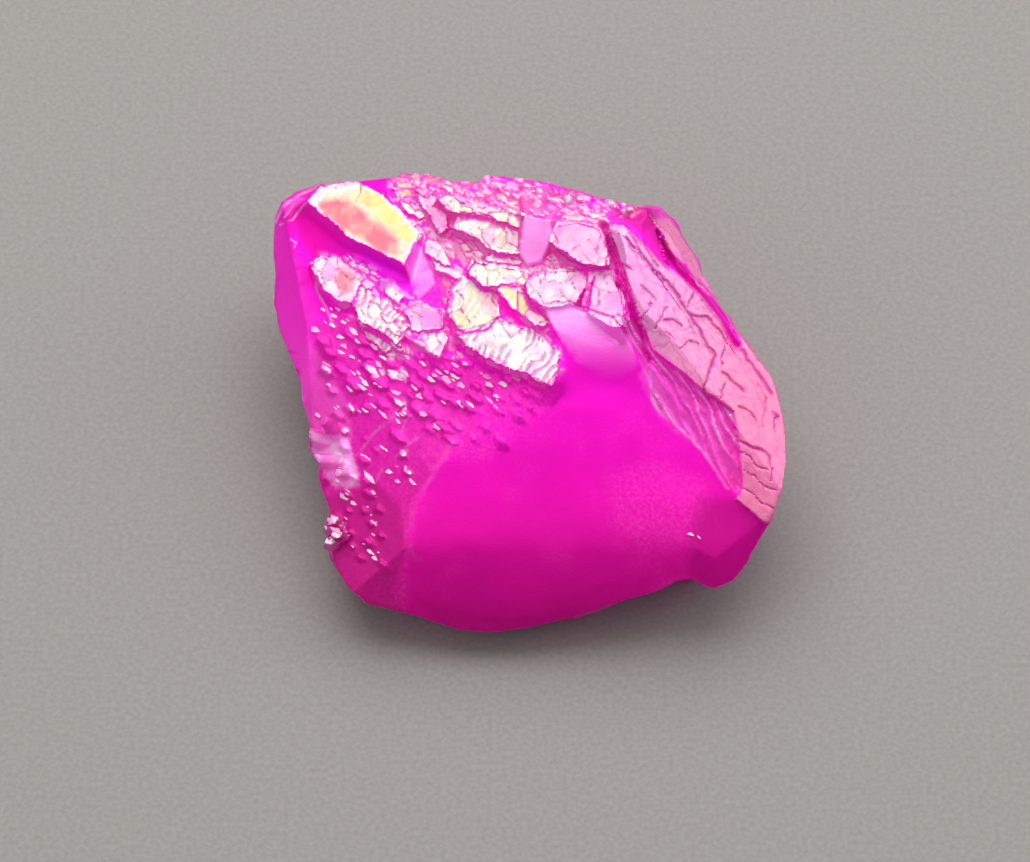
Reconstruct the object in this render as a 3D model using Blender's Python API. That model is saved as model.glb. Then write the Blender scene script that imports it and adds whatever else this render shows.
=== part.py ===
"""A rough quartz crystal with an aura coating, lying on a broken face: one stepped growth face on the left,
one cracked crystal face on the right, and a smooth fracture between them that faces the front.

The front is drawn as it is seen from SIGHT_TILT above the horizon, along +Y. A picture point (u, v) is in
millimetres, u to the right and v up in that picture. A height above the surface that the crystal lies on, or a
facet's plane, then puts the point in space.
"""

import math
import random

import bmesh
import bpy
from mathutils import Matrix, Vector

MM = 0.001
NAME = "crystal"
SIGHT_TILT = math.radians(58.0)
TO_EYE = Vector((0.0, -math.cos(SIGHT_TILT), math.sin(SIGHT_TILT)))
PICTURE_RIGHT = Vector((1.0, 0.0, 0.0))
PICTURE_UP = Vector((0.0, math.sin(SIGHT_TILT), math.cos(SIGHT_TILT)))

# Where the picture's (0, 0) at height 0 lies, so that the middle of the crystal's box is over the origin
DRAWING_ORIGIN = Vector((0.0, -3.93, 0.0)) * MM
# A cube larger than the crystal, which the facets cut down, and the depth of the rim drawn through it
BLANK = 140.0 * MM
WELD = 0.00001

# The rim of the crystal as the picture shows it, clockwise from the left tip
RIM = [
    (-25.7, 27.1), (-25.0, 28.7), (-23.6, 29.7), (-21.0, 30.6), (-17.4, 30.8), (-13.3, 31.2), (-12.5, 31.8),
    (-9.9, 31.5), (-7.3, 30.6), (-5.0, 30.3), (-4.2, 31.2), (-2.2, 31.2), (1.6, 30.5), (4.5, 29.7), (10.2, 28.0),
    (13.3, 27.6), (14.9, 26.0), (16.4, 23.7), (17.2, 22.3), (17.4, 20.9), (18.9, 18.5), (20.9, 15.3),
    (23.9, 11.9), (25.1, 9.4), (25.7, 6.4), (25.8, 2.4), (25.3, -0.5), (24.1, -3.4), (22.9, -5.4), (21.8, -7.6),
    (20.3, -9.3), (18.7, -10.2), (17.4, -9.9), (16.3, -9.2), (14.7, -9.5), (12.6, -10.6), (9.2, -11.6),
    (4.8, -13.1), (0.2, -14.2), (-3.7, -14.7), (-7.0, -14.4), (-10.0, -13.4), (-12.7, -12.6), (-16.0, -11.6),
    (-17.9, -10.2), (-19.0, -8.4), (-19.6, -6.4), (-20.1, -4.6), (-19.6, -2.7), (-20.6, -0.2), (-20.7, 2.0),
    (-21.8, 3.5), (-21.8, 5.6), (-23.0, 10.8), (-24.2, 13.4), (-25.0, 15.6), (-25.5, 18.2), (-25.3, 21.0),
    (-25.8, 24.2),
]

# Facets towards the eye: azimuth of the outward normal, its tilt from straight up, picture point, height there
FRONT_FACETS = {
    "cracked_face": (-18, 32, (15.0, 13.5), 21.4),
    "fracture_top": (-94, 31, (15.0, 13.5), 21.4),
    "crest_bevel": (-70, 30, (13.3, 5.5), 17.2),
    "fracture_low": (-92, 51, (2.3, -5.9), 11.0),
    "fracture_right": (-61, 49, (17.6, -6.5), 11.2),
    "stepped_face": (-141, 21, (-2.7, 6.9), 17.5),
    "stepped_low": (-142, 33, (-8.7, 3.0), 15.3),
    "left_side": (-162, 57, (-22.4, 17.1), 15.0),
    "roof": (125, 17, (-0.7, 27.5), 22.9),
    "roof_left": (122, 26, (-15.7, 30.0), 19.6),
    "right_rim": (14, 48, (17.8, 19.8), 21.0),
}

# Facets away from the eye: azimuth, tilt, and how thick the crystal is at the rim where the facet meets it
BACK_FACETS = {
    "back": (76, 82, 0.8),
    "back_right": (26, 88, 1.0),
    "back_left": (122, 84, 0.8),
    "back_low": (86, 116, 4.0),
    "back_left_low": (130, 118, 2.6),
    "back_left_corner": (158, 120, 2.2),
    "back_right_low": (36, 120, 4.5),
    "under_left": (-176, 124, 1.0),
    "under_left_front": (-142, 130, 1.2),
    "under_front": (-88, 137, 1.0),
    "under_right_front": (-46, 130, 1.2),
    "under_right": (0, 124, 1.4),
}

# The flat tops of the growth steps all lean the same way: azimuth and tilt of their normal
TREAD_LEAN = (180, 5)
# Each step's flat top in the picture, its height over the facet below, and how far its sides flare in degrees
STEPS = {
    "gold": (0.3, 30, [(-22.2, 28.8), (-20.9, 30.3), (-17.5, 30.7), (-14.7, 29.4), (-10.6, 25.2), (-12.3, 22.3),
                       (-17.5, 24.8)]),
    "left_lump": (0.4, 22, [(-21.6, 22.3), (-20.7, 22.9), (-18.6, 22.4), (-16.6, 20.8), (-17.4, 18.4),
                            (-19.1, 18.8), (-20.7, 20.4)]),
    "left_ribbon": (0.4, 20, [(-17.3, 18.4), (-16.6, 19.6), (-14.5, 18.5), (-12.0, 16.4), (-13.0, 14.4),
                              (-14.6, 15.5), (-16.2, 16.3)]),
    "twin": (0.3, 18, [(-12.1, 17.3), (-11.0, 17.9), (-10.0, 17.8), (-8.6, 16.7), (-8.8, 15.6), (-11.4, 15.8)]),
    "triangle": (0.3, 18, [(-12.9, 15.4), (-8.6, 15.5), (-7.9, 14.7), (-8.7, 12.8), (-10.4, 13.8)]),
    "lobe": (0.4, 20, [(-7.7, 17.7), (-7.4, 19.6), (-6.4, 20.9), (-5.1, 19.8), (-3.2, 18.2), (-2.9, 17.1),
                       (-3.7, 15.7), (-6.5, 15.3)]),
    "middle_ribbon": (0.4, 20, [(-6.7, 15.1), (-5.2, 16.5), (-2.1, 16.4), (1.1, 14.8), (2.9, 12.7), (2.9, 10.8),
                                (2.2, 10.3), (-1.2, 11.9), (-4.2, 13.3)]),
    "bar": (0.3, 18, [(-5.7, 21.7), (-5.3, 22.3), (-3.2, 21.9), (-0.3, 21.3), (-0.4, 20.0), (-2.7, 20.1),
                      (-4.4, 20.2)]),
    "slash": (0.3, 18, [(-2.7, 20.3), (-0.4, 20.2), (0.1, 18.7), (2.2, 16.5), (1.8, 16.0), (0.8, 16.2),
                        (-0.7, 17.2), (-2.5, 18.9)]),
    "pale_low": (0.3, 18, [(-0.2, 20.2), (1.3, 21.1), (2.4, 21.3), (5.6, 21.3), (5.5, 20.2), (4.4, 18.1),
                           (1.6, 17.8), (0.5, 18.5)]),
    "pale_side": (0.3, 18, [(7.0, 21.4), (8.2, 20.8), (9.0, 19.2), (9.5, 17.5), (9.1, 15.9), (6.2, 17.6),
                            (6.5, 20.0)]),
    "pale_high": (0.4, 18, [(2.5, 24.6), (3.3, 25.9), (4.9, 26.2), (7.1, 25.6), (7.7, 23.9), (7.4, 22.2),
                            (5.8, 22.1), (4.4, 23.1)]),
    "field_low": (0.2, 20, [(-7.3, 26.0), (-5.6, 25.4), (-2.7, 23.3), (-0.8, 23.5), (-0.6, 25.4), (-3.6, 26.6),
                            (-6.6, 27.4)]),
    "field_high": (0.4, 20, [(-8.9, 28.7), (-8.1, 29.1), (-4.5, 28.1), (-0.5, 26.9), (-0.7, 25.9), (-3.6, 26.9),
                             (-6.8, 27.4)]),
    "flake_a": (0.2, 15, [(-10.0, 24.7), (-9.0, 24.4), (-7.7, 22.3), (-8.2, 21.9), (-10.2, 23.6)]),
    "flake_b": (0.2, 15, [(-9.3, 22.3), (-8.7, 22.3), (-7.1, 21.1), (-7.4, 20.6), (-9.1, 21.7)]),
    "flake_c": (0.2, 15, [(-4.4, 23.0), (-2.7, 23.0), (-0.7, 22.5), (-0.9, 22.1), (-3.7, 22.3)]),
    "streak_a": (0.2, 15, [(-12.7, 28.7), (-11.5, 28.2), (-10.2, 27.2), (-10.7, 27.0), (-12.2, 27.7)]),
    "streak_b": (0.2, 15, [(-10.7, 28.6), (-9.9, 28.2), (-8.0, 25.7), (-8.5, 25.4), (-10.1, 27.2)]),
    "dash_a": (0.2, 15, [(-17.9, 22.9), (-17.3, 23.2), (-16.0, 22.2), (-16.3, 21.7)]),
    "dash_b": (0.2, 15, [(-16.7, 20.4), (-16.1, 20.7), (-15.4, 20.1), (-15.7, 19.6)]),
    "dash_c": (0.2, 15, [(-14.2, 19.6), (-13.6, 19.9), (-12.5, 18.8), (-12.9, 18.3)]),
}

# Blocks that lean their own way: their azimuth and tilt come first
LEANING_BLOCKS = {
    "violet": ((-118, 36), 0.5, 25, [(-0.3, 26.9), (2.3, 26.4), (2.4, 25.2), (2.0, 23.7), (1.4, 22.4),
                                     (0.0, 22.0), (-0.8, 23.3)]),
    "shell": ((-97, 20), 0.1, 30, [(1.9, 17.8), (4.3, 17.6), (7.3, 16.7), (9.5, 15.1), (11.2, 12.6),
                                   (9.8, 11.6), (5.8, 12.1), (2.9, 14.5)]),
}

# Plates and open cracks on the cracked face, in the picture
PLATES = {
    "outer_plate": (0.35, 25, [(13.0, 26.0), (14.2, 25.2), (15.2, 23.4), (16.4, 21.0), (17.6, 18.6), (16.6, 17.8),
                               (14.9, 20.6), (13.6, 23.4)]),
    "middle_plate": (0.3, 25, [(10.2, 24.6), (11.6, 22.6), (13.4, 20.2), (15.2, 17.6), (16.2, 16.0), (14.6, 15.2),
                               (12.0, 17.4), (10.6, 20.4)]),
    "lower_plate": (0.35, 25, [(18.8, 13.6), (20.6, 13.4), (22.6, 11.4), (24.0, 8.6), (23.4, 5.6), (21.2, 7.0),
                               (19.2, 10.6)]),
}
CRACKS = {
    "main_groove": (0.8, [(7.6, 26.0), (8.8, 22.5), (10.1, 18.5), (11.8, 14.0), (12.6, 11.6)]),
    "long_crack": (0.42, [(9.3, 26.3), (11.6, 22.7), (13.0, 21.3), (14.6, 19.0), (16.1, 17.0), (17.3, 14.8),
                          (18.8, 13.0), (18.4, 11.9), (17.8, 10.3)]),
    "cross_crack": (0.34, [(16.5, 16.9), (17.9, 16.6), (19.2, 15.7), (19.9, 14.5), (19.4, 12.4)]),
    "rim_groove": (0.6, [(12.3, 27.0), (14.1, 22.7), (17.5, 18.5), (19.2, 16.3), (20.9, 13.7), (24.2, 8.6)]),
    "low_crack_a": (0.34, [(19.4, 10.2), (19.2, 7.0)]),
    "low_crack_b": (0.34, [(20.6, 5.9), (20.2, 0.8)]),
    "low_crack_c": (0.32, [(17.9, 8.9), (20.4, 7.5)]),
    "low_crack_d": (0.32, [(21.1, 4.1), (23.8, 3.3)]),
    "crest_crack_a": (0.3, [(12.2, 12.8), (14.6, 7.0)]),
    "crest_crack_b": (0.3, [(14.4, 11.7), (16.4, 7.4)]),
    "crest_crack_c": (0.3, [(16.6, 8.6), (19.6, 2.4)]),
}

# Ledges broken out of the back and sides: facet, slope of the ledge's edge in degrees, its height in the facet's
# plane above MIDDLE, and how deep the rock below it is broken away
MIDDLE = Vector((0.0, 0.0, 12.0)) * MM
LEDGES = [
    ("back", 14, 3.0, 1.1),
    ("back", -9, -1.5, 2.3),
    ("back_left", -16, 1.0, 1.2),
    ("back_left", 8, -3.5, 2.4),
    ("back_right", 18, 2.0, 1.0),
    ("back_right", 5, -3.0, 2.0),
    ("under_left", -12, 0.5, 1.0),
    ("under_left_front", 10, -3.0, 0.9),
    ("under_front", 7, -8.5, 0.8),
    ("under_right_front", -14, -3.5, 1.0),
    ("under_right", 12, -1.0, 1.2),
    ("under_right", -6, -5.5, 2.2),
]

# Small flat-topped hillocks: seed, number, region in the picture as (u, v, half width, half height), size range
HILLOCK_FIELDS = [
    (11, 28, (-15.2, 11.2, 5.4, 4.2), (1.0, 2.4)),
    (12, 26, (-7.6, 8.8, 5.4, 4.4), (0.9, 2.2)),
    (13, 10, (-1.6, 9.2, 2.6, 2.0), (0.8, 1.6)),
    (14, 14, (-15.4, 2.0, 3.6, 4.8), (0.7, 1.5)),
    (15, 9, (-16.4, -5.0, 2.2, 2.8), (0.6, 1.2)),
    (16, 22, (-4.6, 29.2, 8.6, 0.9), (0.9, 2.0)),
    (17, 14, (7.0, 28.0, 4.6, 0.8), (0.7, 1.5)),
]
HILLOCK_SLANT = math.radians(-35.0)
HILLOCK_GAP = 1.15

# Small crystals grown on the left edge: picture point of the foot, radius, length, azimuth and tilt of the axis
SIDE_CRYSTALS = [
    ((-20.6, 4.6), 1.5, 3.2, -170, 58),
    ((-19.4, 2.4), 1.3, 2.8, -150, 48),
    ((-19.0, 5.2), 1.1, 2.4, 170, 36),
    ((-20.0, 0.8), 1.1, 2.2, -165, 66),
    ((-18.2, 1.2), 0.9, 1.8, -130, 40),
    ((-19.2, -3.6), 1.0, 2.0, -160, 50),
    ((-18.4, -5.0), 0.8, 1.7, -145, 40),
    ((-19.4, -5.6), 0.8, 1.6, -170, 62),
]
CRYSTAL_SIDES = 6
CRYSTAL_TAPER = 0.55


def outward(azimuth, tilt):
    """The unit normal of a facet from its two angles in degrees."""
    turn = math.radians(azimuth)
    lean = math.radians(tilt)
    return Vector((math.sin(lean) * math.cos(turn), math.sin(lean) * math.sin(turn), math.cos(lean)))


def at_depth(point, depth):
    """A picture point, at that many millimetres towards the eye."""
    u, v = point
    return DRAWING_ORIGIN + MM * (u * PICTURE_RIGHT + v * PICTURE_UP + depth * TO_EYE)


def at_height(point, height):
    """A picture point, at that many millimetres above what the crystal lies on."""
    return at_depth(point, (height - point[1] * PICTURE_UP.z) / TO_EYE.z)


def on_plane(point, through, normal):
    """A picture point, moved along the line of sight onto a plane."""
    start = at_depth(point, 0.0)
    return start + TO_EYE * ((through - start).dot(normal) / TO_EYE.dot(normal))


FRONT_PLANES = {
    name: (at_height(point, height), outward(azimuth, tilt))
    for name, (azimuth, tilt, point, height) in FRONT_FACETS.items()
}


def on_front(point):
    """A picture point on the front facets, as they are before any step grows on them."""
    places = [on_plane(point, through, normal) for through, normal in FRONT_PLANES.values()]
    return min(places, key=lambda place: place.dot(TO_EYE))


def back_plane(azimuth, tilt, thickness):
    """The plane of a back facet, pushed in until the rim is that thick where it is thinnest."""
    normal = outward(azimuth, tilt)
    behind_rim = [on_front(point) - thickness * MM * TO_EYE for point in RIM]
    return max(behind_rim, key=lambda place: place.dot(normal)), normal


BACK_PLANES = {name: back_plane(*facet) for name, facet in BACK_FACETS.items()}
FOOT = (Vector(), Vector((0.0, 0.0, -1.0)))


def collection(name, parent):
    """A new collection in its parent."""
    made = bpy.data.collections.new(name)
    parent.children.link(made)
    return made


def add_object(name, bm, group, matrix=Matrix()):
    """Puts a bmesh, moved by the matrix, in the group as an object with its faces pointing out."""
    bm.transform(matrix)
    bm.normal_update()
    bmesh.ops.recalc_face_normals(bm, faces=bm.faces[:])
    mesh = bpy.data.meshes.new(name)
    bm.to_mesh(mesh)
    bm.free()
    made = bpy.data.objects.new(name, mesh)
    group.objects.link(made)
    return made


def from_curve(curve):
    """The welded mesh of a curve, as a bmesh; the curve is removed."""
    holder = bpy.data.objects.new(curve.name, curve)
    bpy.context.scene.collection.objects.link(holder)
    seen = holder.evaluated_get(bpy.context.evaluated_depsgraph_get())
    mesh = bpy.data.meshes.new_from_object(seen)
    bm = bmesh.new()
    bm.from_mesh(mesh)
    bmesh.ops.remove_doubles(bm, verts=bm.verts[:], dist=WELD)
    bpy.data.objects.remove(holder)
    bpy.data.curves.remove(curve)
    bpy.data.meshes.remove(mesh)
    return bm


def flat_outline(name, corners, thickness):
    """A closed outline in the XY plane, filled and made that thick, with its middle at height 0."""
    curve = bpy.data.curves.new(name, "CURVE")
    curve.dimensions = "2D"
    curve.fill_mode = "BOTH"
    curve.extrude = thickness / 2
    spline = curve.splines.new("POLY")
    spline.points.add(len(corners) - 1)
    for spot, (x, y) in zip(spline.points, corners):
        spot.co = (x, y, 0.0, 1.0)
    spline.use_cyclic_u = True
    return from_curve(curve)


def plane_frame(place, normal):
    """The matrix whose XY plane is the plane through the place, with +Z outwards."""
    turn = normal.to_track_quat("Z", "Y").to_matrix().to_4x4()
    return Matrix.Translation(place) @ turn


def corner_flare(corners, index, amount):
    """A corner of a flat outline, moved outwards so that both its edges move by the amount."""
    here = Vector(corners[index])
    before = (here - Vector(corners[index - 1])).normalized()
    after = (Vector(corners[(index + 1) % len(corners)]) - here).normalized()
    side_a = Vector((before.y, -before.x))
    side_b = Vector((after.y, -after.x))
    middle = side_a + side_b
    if signed_area(corners) < 0:
        middle = -middle
        side_a = -side_a
    stretch = max(middle.normalized().dot(side_a), 0.6)
    return here + middle.normalized() * amount / stretch


def signed_area(corners):
    """Twice the area of an outline, positive where it runs anticlockwise."""
    following = corners[1:] + corners[:1]
    return sum(a[0] * b[1] - b[0] * a[1] for a, b in zip(corners, following))


def step_block(name, outline, normal, rise, flare, group):
    """A block with a flat top of that outline in the picture, whose sides flare down into the crystal.

    The top is the lowest that stays at least the rise above the facets under all of the outline.
    """
    origin = on_front(outline[0])
    over = [(on_front(point) - on_plane(point, origin, normal)).dot(TO_EYE) for point in outline]
    lift = max(over) + rise * MM
    tallest = lift - min(over)
    place = origin + lift * TO_EYE
    frame = plane_frame(place, normal)
    to_frame = frame.inverted()
    flat = [tuple((to_frame @ on_plane(point, place, normal))[:2]) for point in outline]
    if signed_area(flat) < 0:
        flat.reverse()
    depth = 1.9 * tallest + 0.5 * MM
    spread = depth * math.tan(math.radians(flare))
    bm = flat_outline(name, flat, depth)
    bmesh.ops.translate(bm, verts=bm.verts[:], vec=(0.0, 0.0, -depth / 2))
    for vert in bm.verts:
        if vert.co.z < -depth / 2:
            nearest = min(range(len(flat)), key=lambda i: (Vector(flat[i]) - vert.co.xy).length)
            vert.co.xy = corner_flare(flat, nearest, spread)
    return add_object(name, bm, group, frame)


def crack(name, half_width, points, group):
    """A cutter for an open crack: a four-sided strand along the points, thin at both ends."""
    curve = bpy.data.curves.new(name, "CURVE")
    curve.dimensions = "3D"
    curve.bevel_depth = half_width * MM
    curve.bevel_resolution = 0
    curve.use_fill_caps = True
    spline = curve.splines.new("POLY")
    spline.points.add(len(points) - 1)
    for index, (spot, point) in enumerate(zip(spline.points, points)):
        spot.co = (*on_front(point), 1.0)
        at_end = index in (0, len(points) - 1)
        spot.radius = 0.35 if at_end else 1.0
    return add_object(name, from_curve(curve), group)


def inside(point, outline):
    """Whether a picture point is inside an outline."""
    u, v = point
    hit = False
    for (ua, va), (ub, vb) in zip(outline, outline[1:] + outline[:1]):
        if (va > v) != (vb > v) and u < ua + (ub - ua) * (v - va) / (vb - va):
            hit = not hit
    return hit


def near_a_step(point, reach):
    """Whether a picture point is on or close to one of the large steps."""
    tries = [(point[0] + du, point[1] + dv) for du in (-reach, 0.0, reach) for dv in (-reach, 0.0, reach)]
    outlines = [outline for rise, flare, outline in STEPS.values()]
    outlines += [outline for lean, rise, flare, outline in LEANING_BLOCKS.values()]
    return any(inside(spot, outline) for outline in outlines for spot in tries)


def hillock_outline(middle, length, draw):
    """A small uneven outline, drawn out along the slant that the growth steps follow."""
    width = length * draw.uniform(0.3, 0.48)
    corners = []
    for index in range(5):
        turn = math.tau * (index + draw.uniform(-0.25, 0.25)) / 5
        along = 0.5 * length * math.cos(turn)
        across = 0.5 * width * math.sin(turn)
        du = along * math.cos(HILLOCK_SLANT) - across * math.sin(HILLOCK_SLANT)
        dv = along * math.sin(HILLOCK_SLANT) + across * math.cos(HILLOCK_SLANT)
        corners.append((middle[0] + du, middle[1] + dv))
    return corners


def add_hillocks(group):
    """Small hillocks scattered over the stepped face and along the top edge, clear of each other."""
    taken = []
    for seed, number, (u, v, half_u, half_v), (small, large) in HILLOCK_FIELDS:
        draw = random.Random(seed)
        made = 0
        for attempt in range(number * 12):
            point = (u + half_u * draw.uniform(-1, 1), v + half_v * draw.uniform(-1, 1))
            length = draw.uniform(small, large)
            clear = all(math.dist(point, other) > HILLOCK_GAP for other in taken)
            if made == number or not clear or not inside(point, RIM) or near_a_step(point, 0.5):
                continue
            taken.append(point)
            outline = hillock_outline(point, length, draw)
            step_block(f"hillock_{seed}_{made}", outline, outward(*TREAD_LEAN), draw.uniform(0.08, 0.3), 20, group)
            made += 1


def side_crystal(name, foot, radius, length, axis, group):
    """A small six-sided crystal that leans outwards from the edge, with its end cut off aslant."""
    bm = bmesh.new()
    bmesh.ops.create_cone(bm, cap_ends=True, segments=CRYSTAL_SIDES, radius1=radius * MM,
                          radius2=radius * CRYSTAL_TAPER * MM, depth=2 * length * MM)
    matrix = plane_frame(foot, axis)
    return add_object(name, bm, group, matrix)


def cut_facets(bm, planes):
    """Cuts off what lies outside each plane and closes each cut with a flat face."""
    for through, normal in planes:
        geometry = bm.verts[:] + bm.edges[:] + bm.faces[:]
        cut = bmesh.ops.bisect_plane(bm, geom=geometry, plane_co=through, plane_no=normal, clear_outer=True)
        loop = [part for part in cut["geom_cut"] if isinstance(part, bmesh.types.BMEdge)]
        if loop:
            bmesh.ops.edgenet_fill(bm, edges=loop)


def front_blank():
    """What the steps grow on: a large cube with the front facets cut."""
    bm = bmesh.new()
    bmesh.ops.create_cube(bm, size=BLANK)
    cut_facets(bm, FRONT_PLANES.values())
    return bm


def rim_and_back():
    """The rim's outline drawn through the crystal along the line of sight, with the back facets and foot cut."""
    outline = [(u * MM, v * MM) for u, v in RIM]
    bm = flat_outline("rim", outline, BLANK)
    along_sight = Matrix((PICTURE_RIGHT, PICTURE_UP, TO_EYE)).transposed().to_4x4()
    bm.transform(Matrix.Translation(DRAWING_ORIGIN) @ along_sight)
    cut_facets(bm, list(BACK_PLANES.values()) + [FOOT])
    return bm


def ledge(name, facet, slope, height, depth, group):
    """A cutter that breaks the rock away below a sloping line on a back facet, down to a plane parallel to it."""
    through, normal = BACK_PLANES[facet]
    place = MIDDLE + normal * (through - MIDDLE).dot(normal)
    sideways = Vector((0.0, 0.0, 1.0)).cross(normal).normalized()
    frame = Matrix((sideways, normal.cross(sideways), normal)).transposed().to_4x4()
    bm = bmesh.new()
    bmesh.ops.create_cube(bm, size=BLANK)
    bmesh.ops.translate(bm, verts=bm.verts[:], vec=(0.0, -BLANK / 2, BLANK / 2 - depth * MM))
    sloped = Matrix.Translation((0.0, height * MM, 0.0)) @ Matrix.Rotation(math.radians(slope), 4, "Z")
    return add_object(name, bm, group, Matrix.Translation(place) @ frame @ sloped)


def add_boolean(obj, name, operation, operand):
    """A Boolean with every object of a collection."""
    modifier = obj.modifiers.new(name, "BOOLEAN")
    modifier.operation = operation
    modifier.solver = "EXACT"
    modifier.operand_type = "COLLECTION"
    modifier.collection = operand


def aura_material():
    """The hot pink coating, between glass and metal."""
    material = bpy.data.materials.new("aura_pink")
    material.use_nodes = True
    shader = material.node_tree.nodes["Principled BSDF"]
    shader.inputs["Base Color"].default_value = (0.72, 0.012, 0.32, 1.0)
    shader.inputs["Roughness"].default_value = 0.28
    shader.inputs["Metallic"].default_value = 0.25
    return material


def hide_cutters(group):
    """Cutters show as wires and never render."""
    for cutter in group.all_objects:
        cutter.hide_render = True
        cutter.display_type = "WIRE"


def build_crystal():
    """The crystal, with its steps joined to it, its cracks cut and its rim trimmed."""
    scene = bpy.context.scene.collection
    part = collection("aura_quartz_crystal", scene)
    cutters = collection("cutters", scene)
    steps = collection("steps", cutters)
    cracks = collection("cracks", cutters)
    rims = collection("rim", cutters)
    ledges = collection("ledges", cutters)

    for name, (rise, flare, outline) in STEPS.items():
        step_block(name, outline, outward(*TREAD_LEAN), rise, flare, steps)
    for name, (lean, rise, flare, outline) in LEANING_BLOCKS.items():
        step_block(name, outline, outward(*lean), rise, flare, steps)
    for name, (rise, flare, outline) in PLATES.items():
        step_block(name, outline, FRONT_PLANES["cracked_face"][1], rise, flare, steps)
    add_hillocks(steps)
    for index, (point, radius, length, azimuth, tilt) in enumerate(SIDE_CRYSTALS):
        side_crystal(f"side_crystal_{index}", on_front(point), radius, length, outward(azimuth, tilt), steps)
    for name, (half_width, points) in CRACKS.items():
        crack(name, half_width, points, cracks)

    for index, (facet, slope, height, depth) in enumerate(LEDGES):
        ledge(f"ledge_{index}", facet, slope, height, depth, ledges)
    add_object("rim_and_back", rim_and_back(), rims)
    hide_cutters(cutters)

    crystal = add_object(NAME, front_blank(), part)
    crystal.data.materials.append(aura_material())
    add_boolean(crystal, "grow_steps", "UNION", steps)
    add_boolean(crystal, "open_cracks", "DIFFERENCE", cracks)
    add_boolean(crystal, "trim_rim", "INTERSECT", rims)
    add_boolean(crystal, "break_ledges", "DIFFERENCE", ledges)
    return crystal


for leftover in list(bpy.data.objects):
    bpy.data.objects.remove(leftover)
build_crystal()
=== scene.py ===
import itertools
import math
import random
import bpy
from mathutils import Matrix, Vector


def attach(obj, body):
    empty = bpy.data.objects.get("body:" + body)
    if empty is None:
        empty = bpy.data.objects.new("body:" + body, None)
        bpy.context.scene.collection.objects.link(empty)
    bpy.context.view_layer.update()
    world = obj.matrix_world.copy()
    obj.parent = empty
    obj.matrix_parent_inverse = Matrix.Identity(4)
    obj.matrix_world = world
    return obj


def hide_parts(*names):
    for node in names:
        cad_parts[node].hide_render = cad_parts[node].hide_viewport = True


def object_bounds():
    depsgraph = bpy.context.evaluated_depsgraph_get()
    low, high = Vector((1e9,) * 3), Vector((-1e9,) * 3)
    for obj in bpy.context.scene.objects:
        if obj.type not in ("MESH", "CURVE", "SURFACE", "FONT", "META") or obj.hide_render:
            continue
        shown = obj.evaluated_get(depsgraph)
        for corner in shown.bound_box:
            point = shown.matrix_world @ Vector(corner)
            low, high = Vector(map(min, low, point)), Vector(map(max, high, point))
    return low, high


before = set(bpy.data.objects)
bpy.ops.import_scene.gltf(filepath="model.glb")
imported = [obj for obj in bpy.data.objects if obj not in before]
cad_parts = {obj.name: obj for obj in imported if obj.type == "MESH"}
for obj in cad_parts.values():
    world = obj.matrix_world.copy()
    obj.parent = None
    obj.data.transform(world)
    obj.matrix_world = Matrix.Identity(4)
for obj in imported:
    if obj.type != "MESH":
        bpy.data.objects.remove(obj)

# The looks of a rough quartz crystal with an aura coating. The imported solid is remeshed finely, its faces get
# their fracture, ripples and cracks, small growth blocks are set on it, and one coated material covers it all.
#
# Places on the front are picture points (u, v) in millimetres, u to the right and v up, as the crystal is seen
# from SIGHT_TILT above the horizon, along +Y. part.py draws it in the same way.

from types import SimpleNamespace

import bmesh
import bpy
import numpy as np
from mathutils import Vector
from mathutils.bvhtree import BVHTree

MM = 0.001
CAD_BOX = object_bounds()

SIGHT_TILT = math.radians(58.0)
TO_EYE = Vector((0.0, -math.cos(SIGHT_TILT), math.sin(SIGHT_TILT)))
PICTURE_RIGHT = Vector((1.0, 0.0, 0.0))
PICTURE_UP = Vector((0.0, math.sin(SIGHT_TILT), math.cos(SIGHT_TILT)))
DRAWING_ORIGIN = Vector((0.0, -3.93, 0.0)) * MM

# Mesh of the dressed crystal: voxel size, the triangles that it keeps, the least angle of a sharp edge, and how close
# two corners are to be one, in metres
VOXEL = 0.17 * MM
MOST_TRIANGLES = 176000
SHARP_EDGE = math.radians(38.0)
WELD = 0.00001

# The flat tops of the growth steps all lean the same way: azimuth and tilt of their normal
TREAD_LEAN = (180, 5)

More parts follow.
